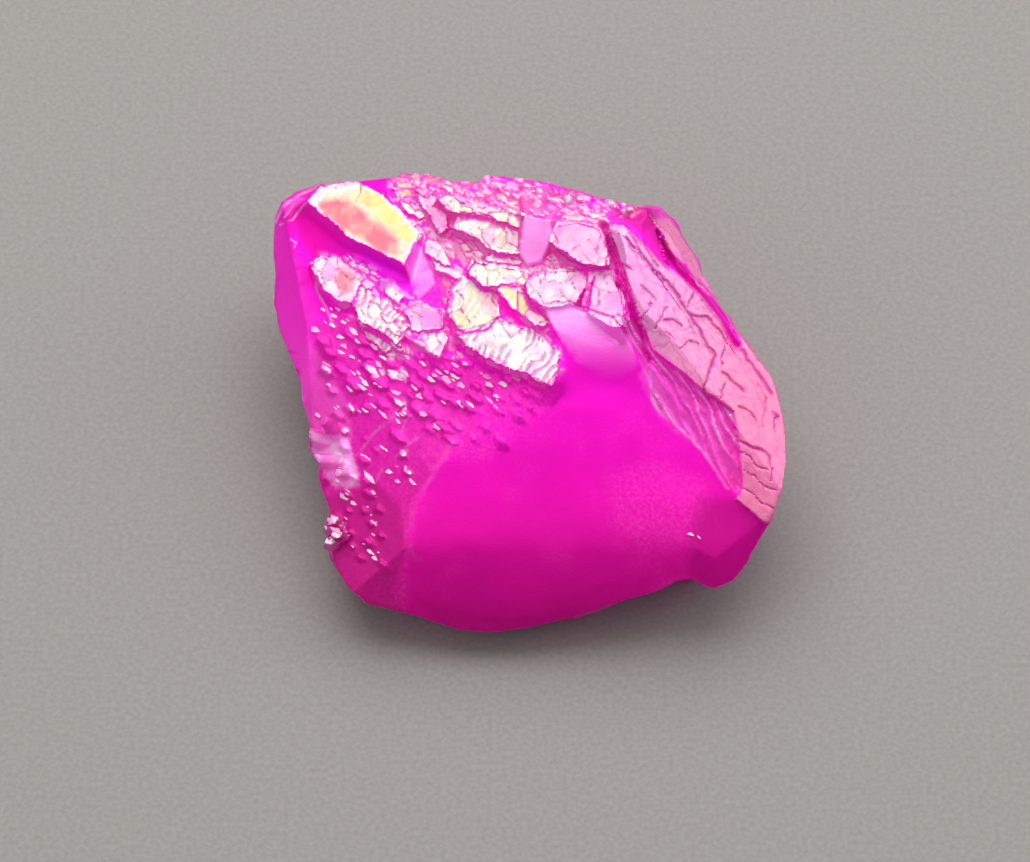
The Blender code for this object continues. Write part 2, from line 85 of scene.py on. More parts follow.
# Treads of the growth steps, whose flash of light is painted into their colour: how pale, how warm (0 lilac, 0.4
# white, 0.7 cream, 1 yellow), how strongly they are scaled, how far they reach past their outline in millimetres,
# outline
TREADS = {
    "gold_step": (0.92, 0.78, 0.0, 0.1, [(-22.2, 28.8), (-20.9, 30.3), (-17.5, 30.7), (-14.7, 29.4), (-10.6, 25.2),
        (-11.5, 24.2), (-12.3, 22.3), (-17.5, 24.8)]),
    "left_lump": (0.88, 0.35, 0.2, 0.3, [(-21.6, 22.3), (-20.7, 22.9), (-18.6, 22.4), (-16.6, 20.8), (-17.4, 18.4),
        (-19.1, 18.8), (-20.7, 20.4)]),
    "left_ribbon": (1.0, 0.48, 0.9, 0.3, [(-17.3, 18.4), (-16.6, 19.6), (-14.5, 18.5), (-12.0, 16.4), (-13.0, 14.4),
        (-14.6, 15.5), (-16.2, 16.3)]),
    "ribbon_foot": (0.85, 0.35, 0.6, 0.1, [(-16.8, 16.3), (-15.0, 15.5), (-13.2, 14.1), (-14.0, 13.1),
        (-16.0, 14.7)]),
    "twin": (0.85, 0.2, 0.1, 0.25, [(-12.1, 17.3), (-11.0, 17.9), (-10.0, 17.8), (-8.6, 16.7), (-8.8, 15.6),
        (-11.4, 15.8)]),
    "triangle": (0.9, 0.38, 0.0, 0.15, [(-10.4, 15.0), (-8.8, 15.2), (-8.0, 14.7), (-8.7, 12.8), (-9.6, 13.4)]),
    "lobe": (1.0, 0.66, 0.5, 0.35, [(-7.7, 17.7), (-7.4, 19.6), (-6.4, 20.9), (-5.1, 19.8), (-3.2, 18.2),
        (-2.9, 17.1), (-3.7, 15.7), (-6.5, 15.3)]),
    "middle_ribbon": (1.0, 0.42, 1.0, 0.25, [(-6.9, 15.0), (-5.6, 16.4), (-3.4, 16.7), (-2.1, 16.4), (1.1, 15.0),
        (2.9, 12.9), (3.0, 10.9), (2.2, 10.2), (-1.2, 11.7), (-4.4, 13.0)]),
    "bar": (1.0, 0.55, 0.1, 0.3, [(-5.7, 21.7), (-5.3, 22.3), (-3.2, 21.9), (-0.3, 21.3), (-0.2, 19.8), (-2.7, 20.0),
        (-4.4, 20.2)]),
    "slash": (1.0, 0.78, 0.1, 0.2, [(-2.7, 20.3), (-0.3, 20.2), (0.1, 18.7), (2.3, 16.5), (1.8, 15.9), (0.8, 16.1),
        (-0.7, 17.2), (-2.5, 18.9)]),
    "pale_low": (0.95, 0.28, 0.4, 0.35, [(-0.2, 20.2), (1.3, 21.1), (2.4, 21.4), (5.6, 21.4), (5.7, 20.2),
        (4.6, 18.2), (1.6, 18.0), (0.5, 18.6)]),
    "pale_side": (0.86, 0.2, 0.6, 0.5, [(6.2, 21.4), (8.2, 21.0), (9.0, 19.2), (9.7, 17.5), (9.6, 16.2), (8.4, 16.2),
        (6.0, 17.8), (6.3, 20.0)]),
    "pale_high": (0.86, 0.2, 0.15, 0.4, [(2.5, 24.6), (3.3, 25.9), (4.9, 26.2), (7.1, 25.6), (7.9, 23.9), (8.0, 22.2),
        (5.8, 22.1), (4.4, 23.1)]),
    "pale_strip": (0.75, 0.55, 0.0, 0.0, [(2.6, 27.2), (5.0, 26.9), (7.4, 26.2), (7.3, 25.8), (4.8, 26.4),
        (2.6, 26.7)]),
    "block_foot": (0.95, 0.35, 0.0, 0.0, [(1.8, 22.6), (2.3, 23.4), (3.1, 23.4), (3.2, 22.6), (2.6, 22.2)]),
    "field_low": (1.0, 0.5, 0.5, 0.35, [(-7.3, 26.0), (-5.6, 25.4), (-2.7, 23.3), (-0.8, 23.5), (-0.6, 25.4),
        (-3.6, 26.6), (-6.6, 27.4)]),
    "field_high": (1.0, 0.55, 0.5, 0.35, [(-8.9, 28.7), (-8.1, 29.1), (-4.5, 28.1), (-0.5, 26.9), (-0.7, 25.9),
        (-3.6, 26.9), (-6.8, 27.4)]),
    "column": (0.72, 0.3, 0.3, 0.0, [(-11.2, 30.4), (-10.2, 30.5), (-8.6, 28.6), (-7.8, 25.7), (-8.6, 25.2),
        (-10.4, 27.6)]),
    "lemon_patch": (0.85, 0.95, 0.0, 0.1, [(-13.2, 30.5), (-11.6, 30.7), (-11.2, 29.4), (-12.6, 29.0)]),
    "lens": (1.0, 0.45, 0.0, 0.1, [(-12.9, 28.7), (-11.7, 28.4), (-10.3, 27.2), (-10.8, 26.9), (-12.2, 27.7)]),
    "flake_a": (0.95, 0.3, 0.0, 0.12, [(-10.0, 24.7), (-9.0, 24.4), (-7.7, 22.3), (-8.2, 21.9), (-10.2, 23.6)]),
    "flake_b": (0.95, 0.4, 0.0, 0.1, [(-9.3, 22.3), (-8.7, 22.3), (-6.6, 21.2), (-6.9, 20.6), (-9.1, 21.7)]),
    "flake_c": (0.95, 0.5, 0.0, 0.1, [(-4.4, 23.0), (-2.7, 23.0), (-0.7, 22.5), (-0.9, 22.1), (-3.7, 22.3)]),
    "dash_a": (0.9, 0.3, 0.0, 0.05, [(-17.9, 22.9), (-17.3, 23.2), (-16.0, 22.2), (-16.3, 21.7)]),
    "dash_b": (0.9, 0.3, 0.0, 0.1, [(-16.7, 20.4), (-16.1, 20.7), (-15.4, 20.1), (-15.7, 19.6)]),
    "dash_c": (0.95, 0.4, 0.0, 0.1, [(-14.2, 19.6), (-13.6, 19.9), (-12.5, 18.8), (-12.9, 18.3)]),
    "low_crystals": (0.85, 0.4, 0.0, 0.0, [(-20.5, -3.0), (-18.8, -3.0), (-17.6, -5.2), (-19.0, -6.2),
        (-20.6, -5.2)]),
}
# The way the ribbons of steps run, in degrees, and the ripples that cross them, in millimetres apart
RIBBON_RUN = -34.0
RIPPLE_GAP = 0.72
RIM_WARMTH = 0.42
# Stretches of a tread with a tone of their own: how pale, how warm, outline
TONES = {
    "gold_band": (0.97, 1.0, [(-17.1, 30.1), (-14.6, 29.6), (-10.9, 25.4), (-11.6, 24.4), (-13.3, 25.2),
        (-15.3, 27.3), (-16.7, 28.8)]),
    "gold_right_edge": (1.0, 0.5, [(-14.9, 29.6), (-14.2, 29.3), (-10.5, 25.4), (-10.9, 24.6), (-11.5, 25.6)]),
    "gold_tip": (1.0, 0.3, [(-22.3, 28.6), (-21.6, 30.2), (-17.2, 30.9), (-17.4, 30.2), (-20.4, 29.5),
        (-21.2, 28.4)]),
    "lobe_edge": (0.95, 0.5, [(-8.2, 18.0), (-7.4, 17.0), (-5.4, 20.6), (-6.0, 21.5), (-7.4, 20.4)]),
    "slash_lemon": (1.0, 0.95, [(-2.7, 20.0), (-1.6, 20.0), (-0.9, 18.4), (-2.3, 18.6)]),
}
# The most that a tread or a plate fills what lies beside it, and the least that it stands over a slope
MOST_FILL = 0.9
LEAST_STAND = 0.12
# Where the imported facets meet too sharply: the bend of the fracture, the foot of the shell, the wall under the gold
# step and a plate beside the crest
SOFT_BENDS = [
    [(-11.6, -2.4), (3.0, -2.0), (16.0, -2.6), (15.4, -9.0), (2.0, -10.2), (-10.8, -9.4)],
    [(2.0, 14.6), (5.8, 13.6), (9.6, 13.6), (11.4, 13.6), (12.0, 11.0), (10.0, 8.2), (5.0, 8.4), (2.4, 11.0)],
    [(-22.8, 27.0), (-17.8, 23.5), (-12.8, 20.9), (-12.4, 19.8), (-14.4, 19.6), (-18.8, 21.6), (-22.2, 24.6)],
    [(9.8, 19.4), (11.6, 18.6), (17.4, 11.6), (17.4, 9.6), (12.6, 12.8), (10.8, 15.6)],
]
SMOOTHING_ROUNDS = 640

# Facets of lilac pink that lean their own way: how strong at the top and at the foot, outline
LILACS = {
    "gold_end": (0.75, 0.5, [(-11.2, 24.1), (-12.2, 22.0), (-10.9, 18.6), (-9.2, 20.2), (-9.6, 21.4), (-10.6, 23.9)]),
    "violet_block": (1.0, 0.9, [(-0.3, 26.9), (2.3, 26.4), (2.5, 25.2), (2.0, 23.7), (1.4, 22.2), (0.0, 21.9),
        (-0.8, 23.3)]),
    "shell": (0.95, 0.05, [(1.7, 17.9), (4.1, 18.2), (5.9, 17.5), (8.6, 16.5), (9.9, 15.0), (11.0, 12.0), (9.6, 10.9),
        (7.4, 11.0), (5.0, 12.2), (3.4, 14.6), (2.0, 16.8)]),
    "left_crystals": (0.85, 0.6, [(-21.5, 5.3), (-18.0, 4.8), (-16.8, 1.0), (-17.6, -0.3), (-19.6, 0.0),
        (-21.6, 3.4)]),
    "left_strip": (0.05, 0.14, [(-26.0, 27.0), (-24.6, 27.0), (-22.6, 20.0), (-21.6, 14.0), (-18.0, 8.4),
        (-17.4, 4.6), (-22.4, 5.6), (-25.4, 14.0), (-26.4, 20.0)]),
    "crest_foot": (0.12, 0.05, [(12.0, 12.0), (14.6, 7.4), (17.6, 4.0), (15.6, 4.6), (12.8, 7.2), (11.0, 11.0)]),
}
# The upper left corner, whose edges are pink
CORNER = [(-26.4, 25.2), (-26.2, 29.0), (-22.4, 30.4), (-21.9, 28.9), (-23.0, 26.6), (-23.4, 23.6), (-25.0, 23.6)]
# Crystal faces at the left edge that shine, with painted glints: how pale, outline
GLINTS = {
    "crystal_side": (0.75, [(-20.0, 4.4), (-18.7, 4.8), (-17.9, 3.2), (-17.1, 1.4), (-16.9, 0.0), (-18.4, 0.2),
        (-19.2, 2.0)]),
    "crystal_tip": (0.6, [(-21.8, 5.4), (-21.0, 5.6), (-20.6, 4.2), (-21.4, 4.0)]),
}
# Fine edges that catch the light, their paleness a painted highlight: half width, how pale, how warm, how coral,
# points
EDGES = [
    (0.22, 0.6, 0.1, 0.3, [(-25.5, 26.6), (-24.8, 28.2), (-23.2, 29.4), (-20.8, 30.4), (-17.6, 30.9)]),
    (0.16, 0.5, 0.1, 0.25, [(-25.0, 26.3), (-23.8, 26.9), (-22.6, 28.4), (-21.9, 28.7)]),
    (0.14, 0.4, 0.1, 0.2, [(-24.6, 27.0), (-23.6, 28.5), (-22.8, 28.8)]),
    (0.13, 0.9, 0.3, 0.0, [(-12.4, 22.1), (-11.9, 23.2), (-11.1, 24.5), (-10.5, 25.1)]),
    (0.14, 0.8, 0.4, 0.2, [(-8.5, 16.5), (-7.6, 18.0), (-6.9, 19.4), (-6.2, 21.2)]),
    (0.12, 0.7, 0.2, 0.0, [(-23.9, 24.8), (-23.4, 24.4), (-23.6, 24.0)]),
    (0.14, 0.6, 0.3, 0.4, [(-21.4, 22.0), (-21.2, 19.6), (-20.2, 17.6), (-19.4, 15.8)]),
    (0.12, 0.6, 0.2, 0.0, [(-17.6, 22.6), (-16.6, 22.4), (-15.5, 21.3), (-15.8, 20.8)]),
    (0.13, 0.7, 0.2, 0.0, [(-7.2, 23.2), (-6.1, 22.8), (-5.3, 23.1)]),
    (0.15, 0.6, 0.4, 0.4, [(-12.9, 15.5), (-11.8, 14.6), (-10.0, 13.4), (-8.8, 12.6)]),
    (0.14, 0.5, 0.3, 0.5, [(-7.7, 14.9), (-6.0, 13.9), (-3.6, 12.9), (-1.4, 11.5)]),
    (0.12, 0.5, 0.4, 0.5, [(12.4, 26.9), (13.6, 24.6), (15.2, 21.9), (17.2, 20.0)]),
    (0.15, 0.7, 0.3, 0.3, [(14.3, 26.4), (15.6, 24.2), (17.0, 22.6), (17.3, 21.0)]),
    (0.14, 0.6, 0.3, 0.3, [(17.4, 20.0), (19.3, 17.9), (21.3, 14.9), (24.0, 11.4), (25.2, 8.6), (25.7, 4.8)]),
    (0.18, 0.5, 0.1, 0.0, [(12.2, 11.2), (12.4, 8.6), (14.4, 6.4), (15.9, 4.9), (17.4, 3.4), (20.0, -0.4)]),
    (0.16, 0.20, 0.1, 0.0, [(-11.8, 9.4), (-13.6, 6.6), (-15.2, 5.2), (-17.2, 2.8)]),
    (0.15, 0.16, 0.1, 0.0, [(-9.0, 6.4), (-11.6, 4.0), (-14.4, 1.9), (-15.2, 0.2)]),
    (0.14, 0.16, 0.1, 0.0, [(-10.4, 8.2), (-12.2, 6.4), (-12.6, 4.6)]),
    (0.30, 0.06, 0.1, 0.0, [(-6.9, 5.4), (-8.5, 2.3), (-11.2, -1.5), (-11.6, -5.3), (-11.2, -7.4)]),
    (0.13, 0.8, 0.3, 0.2, [(20.8, -1.3), (22.4, -2.4), (23.9, -3.5)]),
]
# Darker places on the fracture, with painted shade in hollows, under the ribbon and low down: how dark, outline
PAINTED_SHADES = {
    "low_left": (0.85, [(-20.8, -5.2), (-17.4, -5.6), (-13.6, -9.0), (-12.0, -13.4), (-17.0, -12.4), (-20.4, -9.0)]),
    "low_facet": (0.55, [(16.8, -1.2), (20.8, -1.2), (24.2, -3.6), (22.0, -9.4), (17.6, -10.6), (15.8, -8.6),
        (15.9, -4.6)]),
    "low_lip": (0.6, [(-11.0, -11.4), (-2.6, -13.2), (4.0, -12.6), (14.6, -10.0), (12.0, -12.2), (0.0, -15.4),
        (-8.0, -14.8)]),
    "corner_hollow": (0.75, [(-24.9, 26.9), (-23.4, 28.6), (-22.8, 28.3), (-24.1, 26.7)]),
    "under_ribbon": (0.3, [(-7.0, 12.6), (-1.0, 10.8), (3.6, 9.8), (1.0, 8.8), (-5.0, 10.6)]),
    "slope": (0.5, [(-21.0, 15.6), (-17.6, 16.4), (-12.8, 12.8), (-7.4, 12.0), (-3.0, 9.6), (-6.9, 5.4), (-8.4, 2.4),
        (-11.2, -1.6), (-11.8, -5.4), (-12.6, -13.6), (-20.6, -10.0), (-21.6, -2.0), (-22.4, 8.0)]),
    "rim_hollow": (0.9, [(8.4, 27.2), (12.4, 27.8), (13.7, 25.2), (15.2, 22.4), (13.9, 22.2), (12.0, 24.6),
        (9.6, 26.2)]),
    "slope_foot": (0.85, [(-20.6, -1.0), (-14.8, 0.6), (-12.4, -2.0), (-11.9, -6.0), (-13.0, -11.0), (-18.0, -9.0),
        (-20.8, -6.0)]),
    "step_hollow": (0.45, [(-6.8, 24.8), (-4.4, 23.6), (-5.0, 22.6), (-8.0, 23.6)]),
}
# Where small scales break up the growth steps and flash between them
STEP_FIELD = [(-13.6, 31.4), (-4.6, 31.0), (1.6, 30.2), (9.8, 27.8), (8.6, 24.0), (10.4, 17.0), (7.4, 15.8),
    (2.6, 17.4), (3.6, 11.4), (1.6, 9.8), (-5.6, 12.2), (-9.6, 13.0), (-13.6, 12.6), (-17.4, 16.6), (-21.4, 20.6),
    (-21.0, 23.4), (-16.4, 22.8), (-11.6, 18.8), (-9.8, 21.6), (-10.6, 25.0), (-13.8, 28.8)]
# The crust of small knobs along the top edge
TOP_CRUST = [(-13.8, 32.2), (-4.6, 31.8), (1.6, 31.0), (5.0, 30.2), (12.4, 28.2), (10.4, 26.8), (5.0, 27.4),
    (1.0, 27.6), (-1.4, 29.4), (-5.0, 30.0), (-9.0, 30.6), (-12.2, 29.7), (-14.1, 30.2)]

# Salmon and coral places on the growth steps: how strong, outline
CORALS = {
    "gold_left": (1.0, [(-21.2, 28.5), (-18.6, 29.0), (-16.2, 27.6), (-15.6, 25.4), (-17.2, 25.0), (-20.6, 27.1)]),
    "gold_low": (1.0, [(-17.0, 26.6), (-15.2, 26.9), (-13.0, 24.6), (-12.4, 22.8), (-14.8, 23.4), (-17.0, 25.0)]),
    "lump_middle": (0.8, [(-19.0, 21.8), (-17.2, 21.2), (-17.6, 19.4), (-18.6, 19.2), (-19.4, 20.4)]),
    "lobe_side": (0.7, [(-8.9, 21.4), (-7.7, 20.9), (-7.4, 19.4), (-8.0, 18.4), (-8.8, 20.0)]),
    "field_low": (0.3, [(-4.2, 25.2), (-1.0, 24.9), (-0.9, 24.0), (-2.6, 23.8)]),
    "top_ridge": (0.8, [(-14.0, 31.4), (-12.5, 31.9), (-9.9, 31.6), (-7.3, 30.7), (-7.3, 30.0), (-12.5, 30.9)]),
    "left_corner": (0.6, [(-25.6, 26.8), (-25.0, 28.7), (-23.0, 29.9), (-22.2, 29.2), (-24.2, 27.6), (-24.9, 26.4)]),
}

# Where a pinkish haze lies between the steps
STEP_HAZE = [(-11.6, 31.2), (1.0, 30.2), (8.6, 27.6), (8.8, 21.6), (2.6, 21.6), (-2.6, 22.6), (-9.6, 22.4),
    (-9.4, 25.4), (-11.0, 28.4)]

# The cracked face, its magenta band, and its outer strip
PEACH_FACE = [(7.9, 26.0), (9.6, 25.9), (11.4, 24.2), (13.7, 21.8), (16.0, 20.4), (18.4, 18.3), (20.2, 16.2),
    (22.4, 13.6), (24.6, 10.8), (25.6, 7.0), (26.2, 2.4), (25.4, -1.4), (24.2, -3.6), (23.4, -3.5), (20.9, -1.3),
    (20.6, 3.0), (18.6, 8.2), (15.6, 11.0), (12.4, 13.6), (11.2, 16.4), (10.2, 19.0), (8.8, 23.0)]
OUTER_STRIP = [(12.6, 26.6), (14.5, 26.8), (16.9, 22.7), (17.6, 20.8), (19.0, 18.6), (21.2, 15.6), (23.9, 12.2),
    (22.6, 12.6), (20.4, 15.4), (18.0, 18.3), (15.9, 22.1), (14.3, 22.9), (13.1, 25.0)]
# A point on one of the face's plates, whose level the rest of the face is filled to
PLATE_POINT = (13.2, 19.2)
MAGENTA_BAND = [(12.0, 27.2), (13.7, 23.5), (15.9, 20.9), (17.7, 19.3), (19.8, 16.6), (21.0, 14.2)]

# The ribbed crest between the cracked face and the smooth fracture, and the way its ribs run, in degrees
CREST = [(9.2, 17.0), (11.2, 16.2), (12.3, 13.3), (15.7, 10.9), (17.5, 9.3), (19.2, 8.3), (20.4, 7.3), (21.0, 4.0),
    (21.4, 0.5), (21.1, -1.2), (17.3, 3.5), (15.7, 5.2), (14.6, 6.1), (12.5, 7.8), (12.3, 10.0), (10.4, 14.1)]
CREST_SLOPE = -61.0
RIB_GAP = 0.85

# Other zones of the front: the smooth fracture, its veil, the rough slope on the left, the dark flank of the gold
# step, the narrow strip at the left edge and the facet at the lower right
SMOOTH_FRONT = [(-6.9, 5.4), (-2.6, 9.4), (1.0, 10.4), (6.0, 11.2), (10.4, 11.0), (12.6, 8.6), (14.6, 5.4),
    (17.6, 3.0), (21.1, -1.4), (19.8, -10.6), (10.0, -12.6), (0.0, -16.0), (-10.4, -14.6), (-12.6, -9.6),
    (-11.8, -5.4), (-11.2, -1.6), (-8.4, 2.4)]
VEIL = [(8.1, 1.2), (12.6, 2.8), (17.6, 0.6), (18.4, -2.0), (16.6, -5.6), (11.6, -6.8), (8.4, -4.2)]
ROUGH_SLOPE = [(-21.6, 16.0), (-17.6, 17.4), (-12.8, 13.6), (-7.4, 12.8), (-2.0, 10.4), (-6.9, 5.4), (-8.4, 2.4),
    (-11.2, -1.6), (-11.8, -5.4), (-12.6, -13.6), (-20.6, -10.0), (-21.6, -2.0), (-23.0, 8.0)]
SLOPE_END = [(-9.4, 11.6), (-2.0, 10.8), (2.6, 11.2), (2.8, 8.4), (-4.2, 2.6), (-8.8, 2.6)]
FLANK = [(-24.4, 27.4), (-22.4, 28.4), (-17.4, 24.6), (-12.5, 22.0), (-11.2, 18.2), (-12.6, 17.6), (-16.4, 21.8),
    (-21.0, 23.2), (-21.8, 19.0), (-22.8, 22.6)]

# Cracks that show as dark lines: half width, depth, points
CRACKS = [
    (0.42, 0.30, [(7.6, 26.0), (8.8, 22.5), (10.1, 18.5), (11.4, 15.0), (12.2, 12.4)]),
    (0.20, 0.22, [(9.9, 24.6), (13.0, 21.1), (14.9, 19.0), (16.3, 17.0), (17.75, 14.5), (18.8, 12.9), (18.2, 11.3),
        (17.5, 9.3)]),
    (0.13, 0.14, [(11.6, 24.3), (12.2, 23.1), (13.1, 21.8)]),
    (0.14, 0.14, [(9.4, 22.0), (10.5, 21.5)]),
    (0.12, 0.14, [(12.4, 18.0), (11.4, 16.6)]),
    (0.12, 0.14, [(14.0, 17.7), (13.0, 16.2), (12.8, 15.4)]),
    (0.13, 0.16, [(13.5, 16.4), (14.5, 16.4), (15.4, 15.9)]),
    (0.12, 0.14, [(13.8, 15.3), (14.7, 14.4)]),
    (0.12, 0.14, [(16.6, 19.1), (16.1, 17.8)]),
    (0.16, 0.18, [(16.5, 17.0), (17.95, 16.8), (19.2, 15.6), (19.9, 14.4), (19.4, 12.1)]),
    (0.15, 0.18, [(19.6, 11.3), (21.6, 9.5)]),
    (0.16, 0.20, [(17.5, 9.2), (18.9, 8.3), (20.4, 7.4)]),
    (0.12, 0.14, [(19.8, 10.4), (19.2, 8.4)]),
    (0.18, 0.22, [(20.6, 5.8), (21.0, 4.3), (23.7, 3.5)]),
    (0.12, 0.14, [(24.4, 7.2), (25.2, 7.0), (24.7, 6.6), (24.7, 5.4)]),
    (0.13, 0.16, [(20.8, 3.6), (22.0, 3.0), (22.6, 2.0), (23.8, 1.6)]),
    (0.13, 0.16, [(21.4, 1.4), (22.6, 0.9), (23.4, -0.2), (24.6, -0.5)]),
    (0.12, 0.14, [(23.9, 3.4), (24.4, 2.0), (24.2, 0.4)]),
    (0.13, 0.16, [(21.4, -0.2), (22.4, -0.8), (23.4, -1.9), (24.4, -2.2)]),
    (0.13, 0.14, [(1.8, 18.1), (4.1, 18.3), (5.9, 17.6), (8.6, 16.6), (9.9, 15.1)]),
    (0.14, 0.14, [(2.3, 21.7), (5.4, 21.5), (8.3, 21.5)]),
    (0.16, 0.16, [(3.0, 23.4), (4.2, 22.5), (5.8, 21.8)]),
    (0.14, 0.14, [(-0.4, 19.6), (0.3, 18.2), (2.2, 16.2)]),
    (0.10, 0.12, [(6.3, 20.2), (5.6, 18.9), (5.2, 17.9)]),
    (0.22, 0.10, [(21.0, 14.2), (22.6, 11.8), (24.4, 9.2)]),
    (0.11, 0.12, [(11.2, 19.8), (12.4, 19.0), (12.9, 18.4)]),
    (0.11, 0.12, [(15.2, 13.6), (16.2, 14.4), (17.2, 13.8)]),
    (0.11, 0.12, [(21.2, 7.8), (22.4, 7.2), (23.0, 6.2)]),
]

# Short growth blocks placed one by one: picture point, length and width in millimetres
DASHES = [
    (-21.3, 15.6, 0.9, 0.5), (-18.8, 14.9, 1.1, 0.4), (-18.4, 13.9, 1.1, 0.5), (-17.6, 12.9, 1.0, 0.5),
    (-17.0, 14.5, 0.8, 0.4), (-17.4, 15.4, 1.0, 0.4), (-15.3, 13.8, 1.5, 0.6), (-14.4, 12.8, 1.3, 0.4),
    (-14.9, 12.1, 0.8, 0.4), (-12.1, 12.9, 0.9, 0.5), (-12.8, 13.7, 0.8, 0.4), (-10.5, 12.3, 1.0, 0.4),
    (-13.6, 11.4, 0.9, 0.4), (-12.2, 11.2, 1.1, 0.4), (-12.8, 10.8, 0.9, 0.4), (-17.4, 11.2, 0.8, 0.5),
    (-16.2, 10.2, 0.9, 0.4), (-17.8, 9.7, 0.9, 0.4), (-8.8, 11.3, 1.1, 0.4), (-9.6, 10.6, 0.9, 0.4),
    (-8.1, 10.6, 1.2, 0.5), (-7.2, 12.0, 0.9, 0.4), (-6.1, 12.1, 0.8, 0.4), (-6.7, 13.0, 0.9, 0.4),
    (-6.6, 10.0, 0.9, 0.5), (-13.2, 9.3, 1.0, 0.5), (-12.8, 8.3, 1.1, 0.6), (-10.7, 8.9, 0.9, 0.6),
    (-15.4, 8.0, 1.1, 0.4), (-16.2, 7.5, 1.2, 0.5), (-14.4, 7.1, 1.6, 0.4), (-17.6, 7.8, 1.1, 0.5),
    (-12.9, 6.4, 0.8, 0.4), (-10.3, 7.1, 1.0, 0.6), (-9.0, 5.9, 0.9, 0.5), (-6.7, 8.2, 1.2, 0.4),
    (-5.6, 8.0, 1.0, 0.4), (-3.7, 10.0, 1.2, 0.5), (-2.4, 10.1, 1.3, 0.6), (-1.2, 10.7, 1.0, 0.4),
    (-3.7, 8.4, 1.2, 0.4), (-3.1, 8.9, 0.9, 0.3), (-21.0, 7.0, 0.8, 0.5), (-19.0, 17.7, 0.8, 0.4),
    (-19.4, 17.0, 0.8, 0.4), (-19.6, 16.1, 0.9, 0.4), (-18.5, 16.4, 0.7, 0.4), (-16.2, 20.0, 0.8, 0.4),
    (-15.6, 0.6, 1.9, 0.5), (-13.8, 1.4, 0.9, 0.4), (-12.9, 0.4, 0.7, 0.4), (-11.7, 1.3, 0.8, 0.5),
    (-11.4, 0.4, 1.1, 0.5), (-18.3, -1.1, 1.3, 0.6), (-17.3, -1.8, 0.8, 0.4), (-15.7, -6.5, 0.9, 0.4),
    (-15.2, -7.2, 0.8, 0.4), (-19.6, -3.5, 0.9, 0.5), (-18.9, -4.6, 1.4, 0.6), (-19.7, -5.5, 1.2, 0.7),
    (-20.0, -4.3, 0.9, 0.5),
    (16.2, -4.8, 0.9, 0.3), (17.0, -5.1, 0.6, 0.3),
]

# Scattered blocks: seed, number, middle and half size of the place in the picture, shortest and longest
SCATTERS = [
    (21, 20, (-15.6, 11.6), (4.6, 4.6), (0.35, 1.2)),
    (22, 10, (-7.4, 10.4), (4.8, 2.6), (0.3, 1.0)),
    (23, 9, (-15.6, 2.6), (3.6, 5.0), (0.3, 0.9)),
    (24, 8, (-16.4, -4.6), (2.0, 2.4), (0.2, 0.5)),
    (25, 16, (-6.0, 29.2), (7.6, 1.5), (0.5, 1.3)),
    (26, 12, (5.0, 28.0), (5.6, 1.0), (0.5, 1.1)),
    (27, 14, (-15.6, 16.4), (5.0, 1.6), (0.3, 0.8)),
]
DASH_SEED = 5
# How a growth block lies in the picture, the corners of its outline, and its rings of corners from the top down
BLOCK_SLANT = math.radians(RIBBON_RUN)
BLOCK_CORNERS = 5
BLOCK_RINGS = 3

# How far in front of the crystal the lines of sight start, and a distance beyond everything, in millimetres
SIGHT_START = 60.0
FAR = 1e6

# Heights of the relief in millimetres
RELIEF = {
    "swell": 0.42, "waves": 0.13, "dimples": 0.014, "plates": 0.05, "plate_grain": 0.03, "ribs": 0.42,
    "rib_grain": 0.05, "grit": 0.035, "slope_grain": 0.04, "ripples": 0.1, "flake_gaps": 0.09, "flake_steps": 0.1,
    "seams": 0.12, "edges": 0.07, "scales": 0.12, "rims": 0.05, "knobs": 0.3, "broad_scoops": 0.75,
    "small_scoops": 0.16, "hidden_grain": 0.08,
}

# Colours of the coating in linear light. The ramps give the place of each colour from 0 to 1
# The first ramp paints light and shade into the magenta: darker and redder low on the crystal, brighter high up
PAINTED_LIGHT_RAMP = [(0.0, (0.42, 0.001, 0.15)), (0.3, (0.82, 0.001, 0.36)), (0.65, (0.94, 0.001, 0.50)),
             (1.0, (0.95, 0.001, 0.62))]
PEACH_RAMP = [(0.0, (0.78, 0.36, 0.68)), (0.35, (0.82, 0.35, 0.62)), (0.7, (0.86, 0.32, 0.53)),
              (1.0, (0.88, 0.26, 0.42))]
PALE_RAMP = [(0.0, (0.58, 0.30, 0.56)), (0.2, (0.62, 0.43, 0.59)), (0.45, (0.70, 0.68, 0.70)),
             (0.65, (0.68, 0.65, 0.52)), (1.0, (0.68, 0.58, 0.18))]
# The dark crimson among them is the colour of the painted shade
COLOURS = {
    "cloud": (0.72, 0.001, 0.34), "powder": (0.86, 0.10, 0.52), "wall_left": (0.90, 0.001, 0.46),
    "wall_right": (0.76, 0.002, 0.64), "back_crimson": (0.72, 0.001, 0.30), "back_purple": (0.50, 0.003, 0.44),
    "back_pink": (0.90, 0.03, 0.42), "painted_shade": (0.42, 0.001, 0.17), "lilac": (0.95, 0.43, 0.93),
    "streak": (0.76, 0.07, 0.46), "scratch": (0.55, 0.06, 0.30), "tread_line": (0.30, 0.15, 0.25),
    "coral": (0.62, 0.13, 0.18), "crack": (0.50, 0.006, 0.26), "unlit": (0.0, 0.0, 0.0),
}


def outward(azimuth, tilt):
    """The unit normal from its azimuth and its tilt from straight up, in degrees."""
    turn = math.radians(azimuth)
    lean = math.radians(tilt)
    return Vector((math.sin(lean) * math.cos(turn), math.sin(lean) * math.sin(turn), math.cos(lean)))


def at_depth(point, depth):
    """A picture point, at that many millimetres towards the eye."""
    u, v = point
    return DRAWING_ORIGIN + MM * (u * PICTURE_RIGHT + v * PICTURE_UP + depth * TO_EYE)


def picture_points(places):
    """The picture points, in millimetres, of an array of places."""
    axes = np.array((PICTURE_RIGHT, PICTURE_UP)).T
    return (places - np.array(DRAWING_ORIGIN)) @ axes / MM


def ease(low, high, values):
    """0 below low and 1 above high, with a smooth way between."""
    part = np.clip((values - low) / (high - low), 0.0, 1.0)
    return part * part * (3.0 - 2.0 * part)


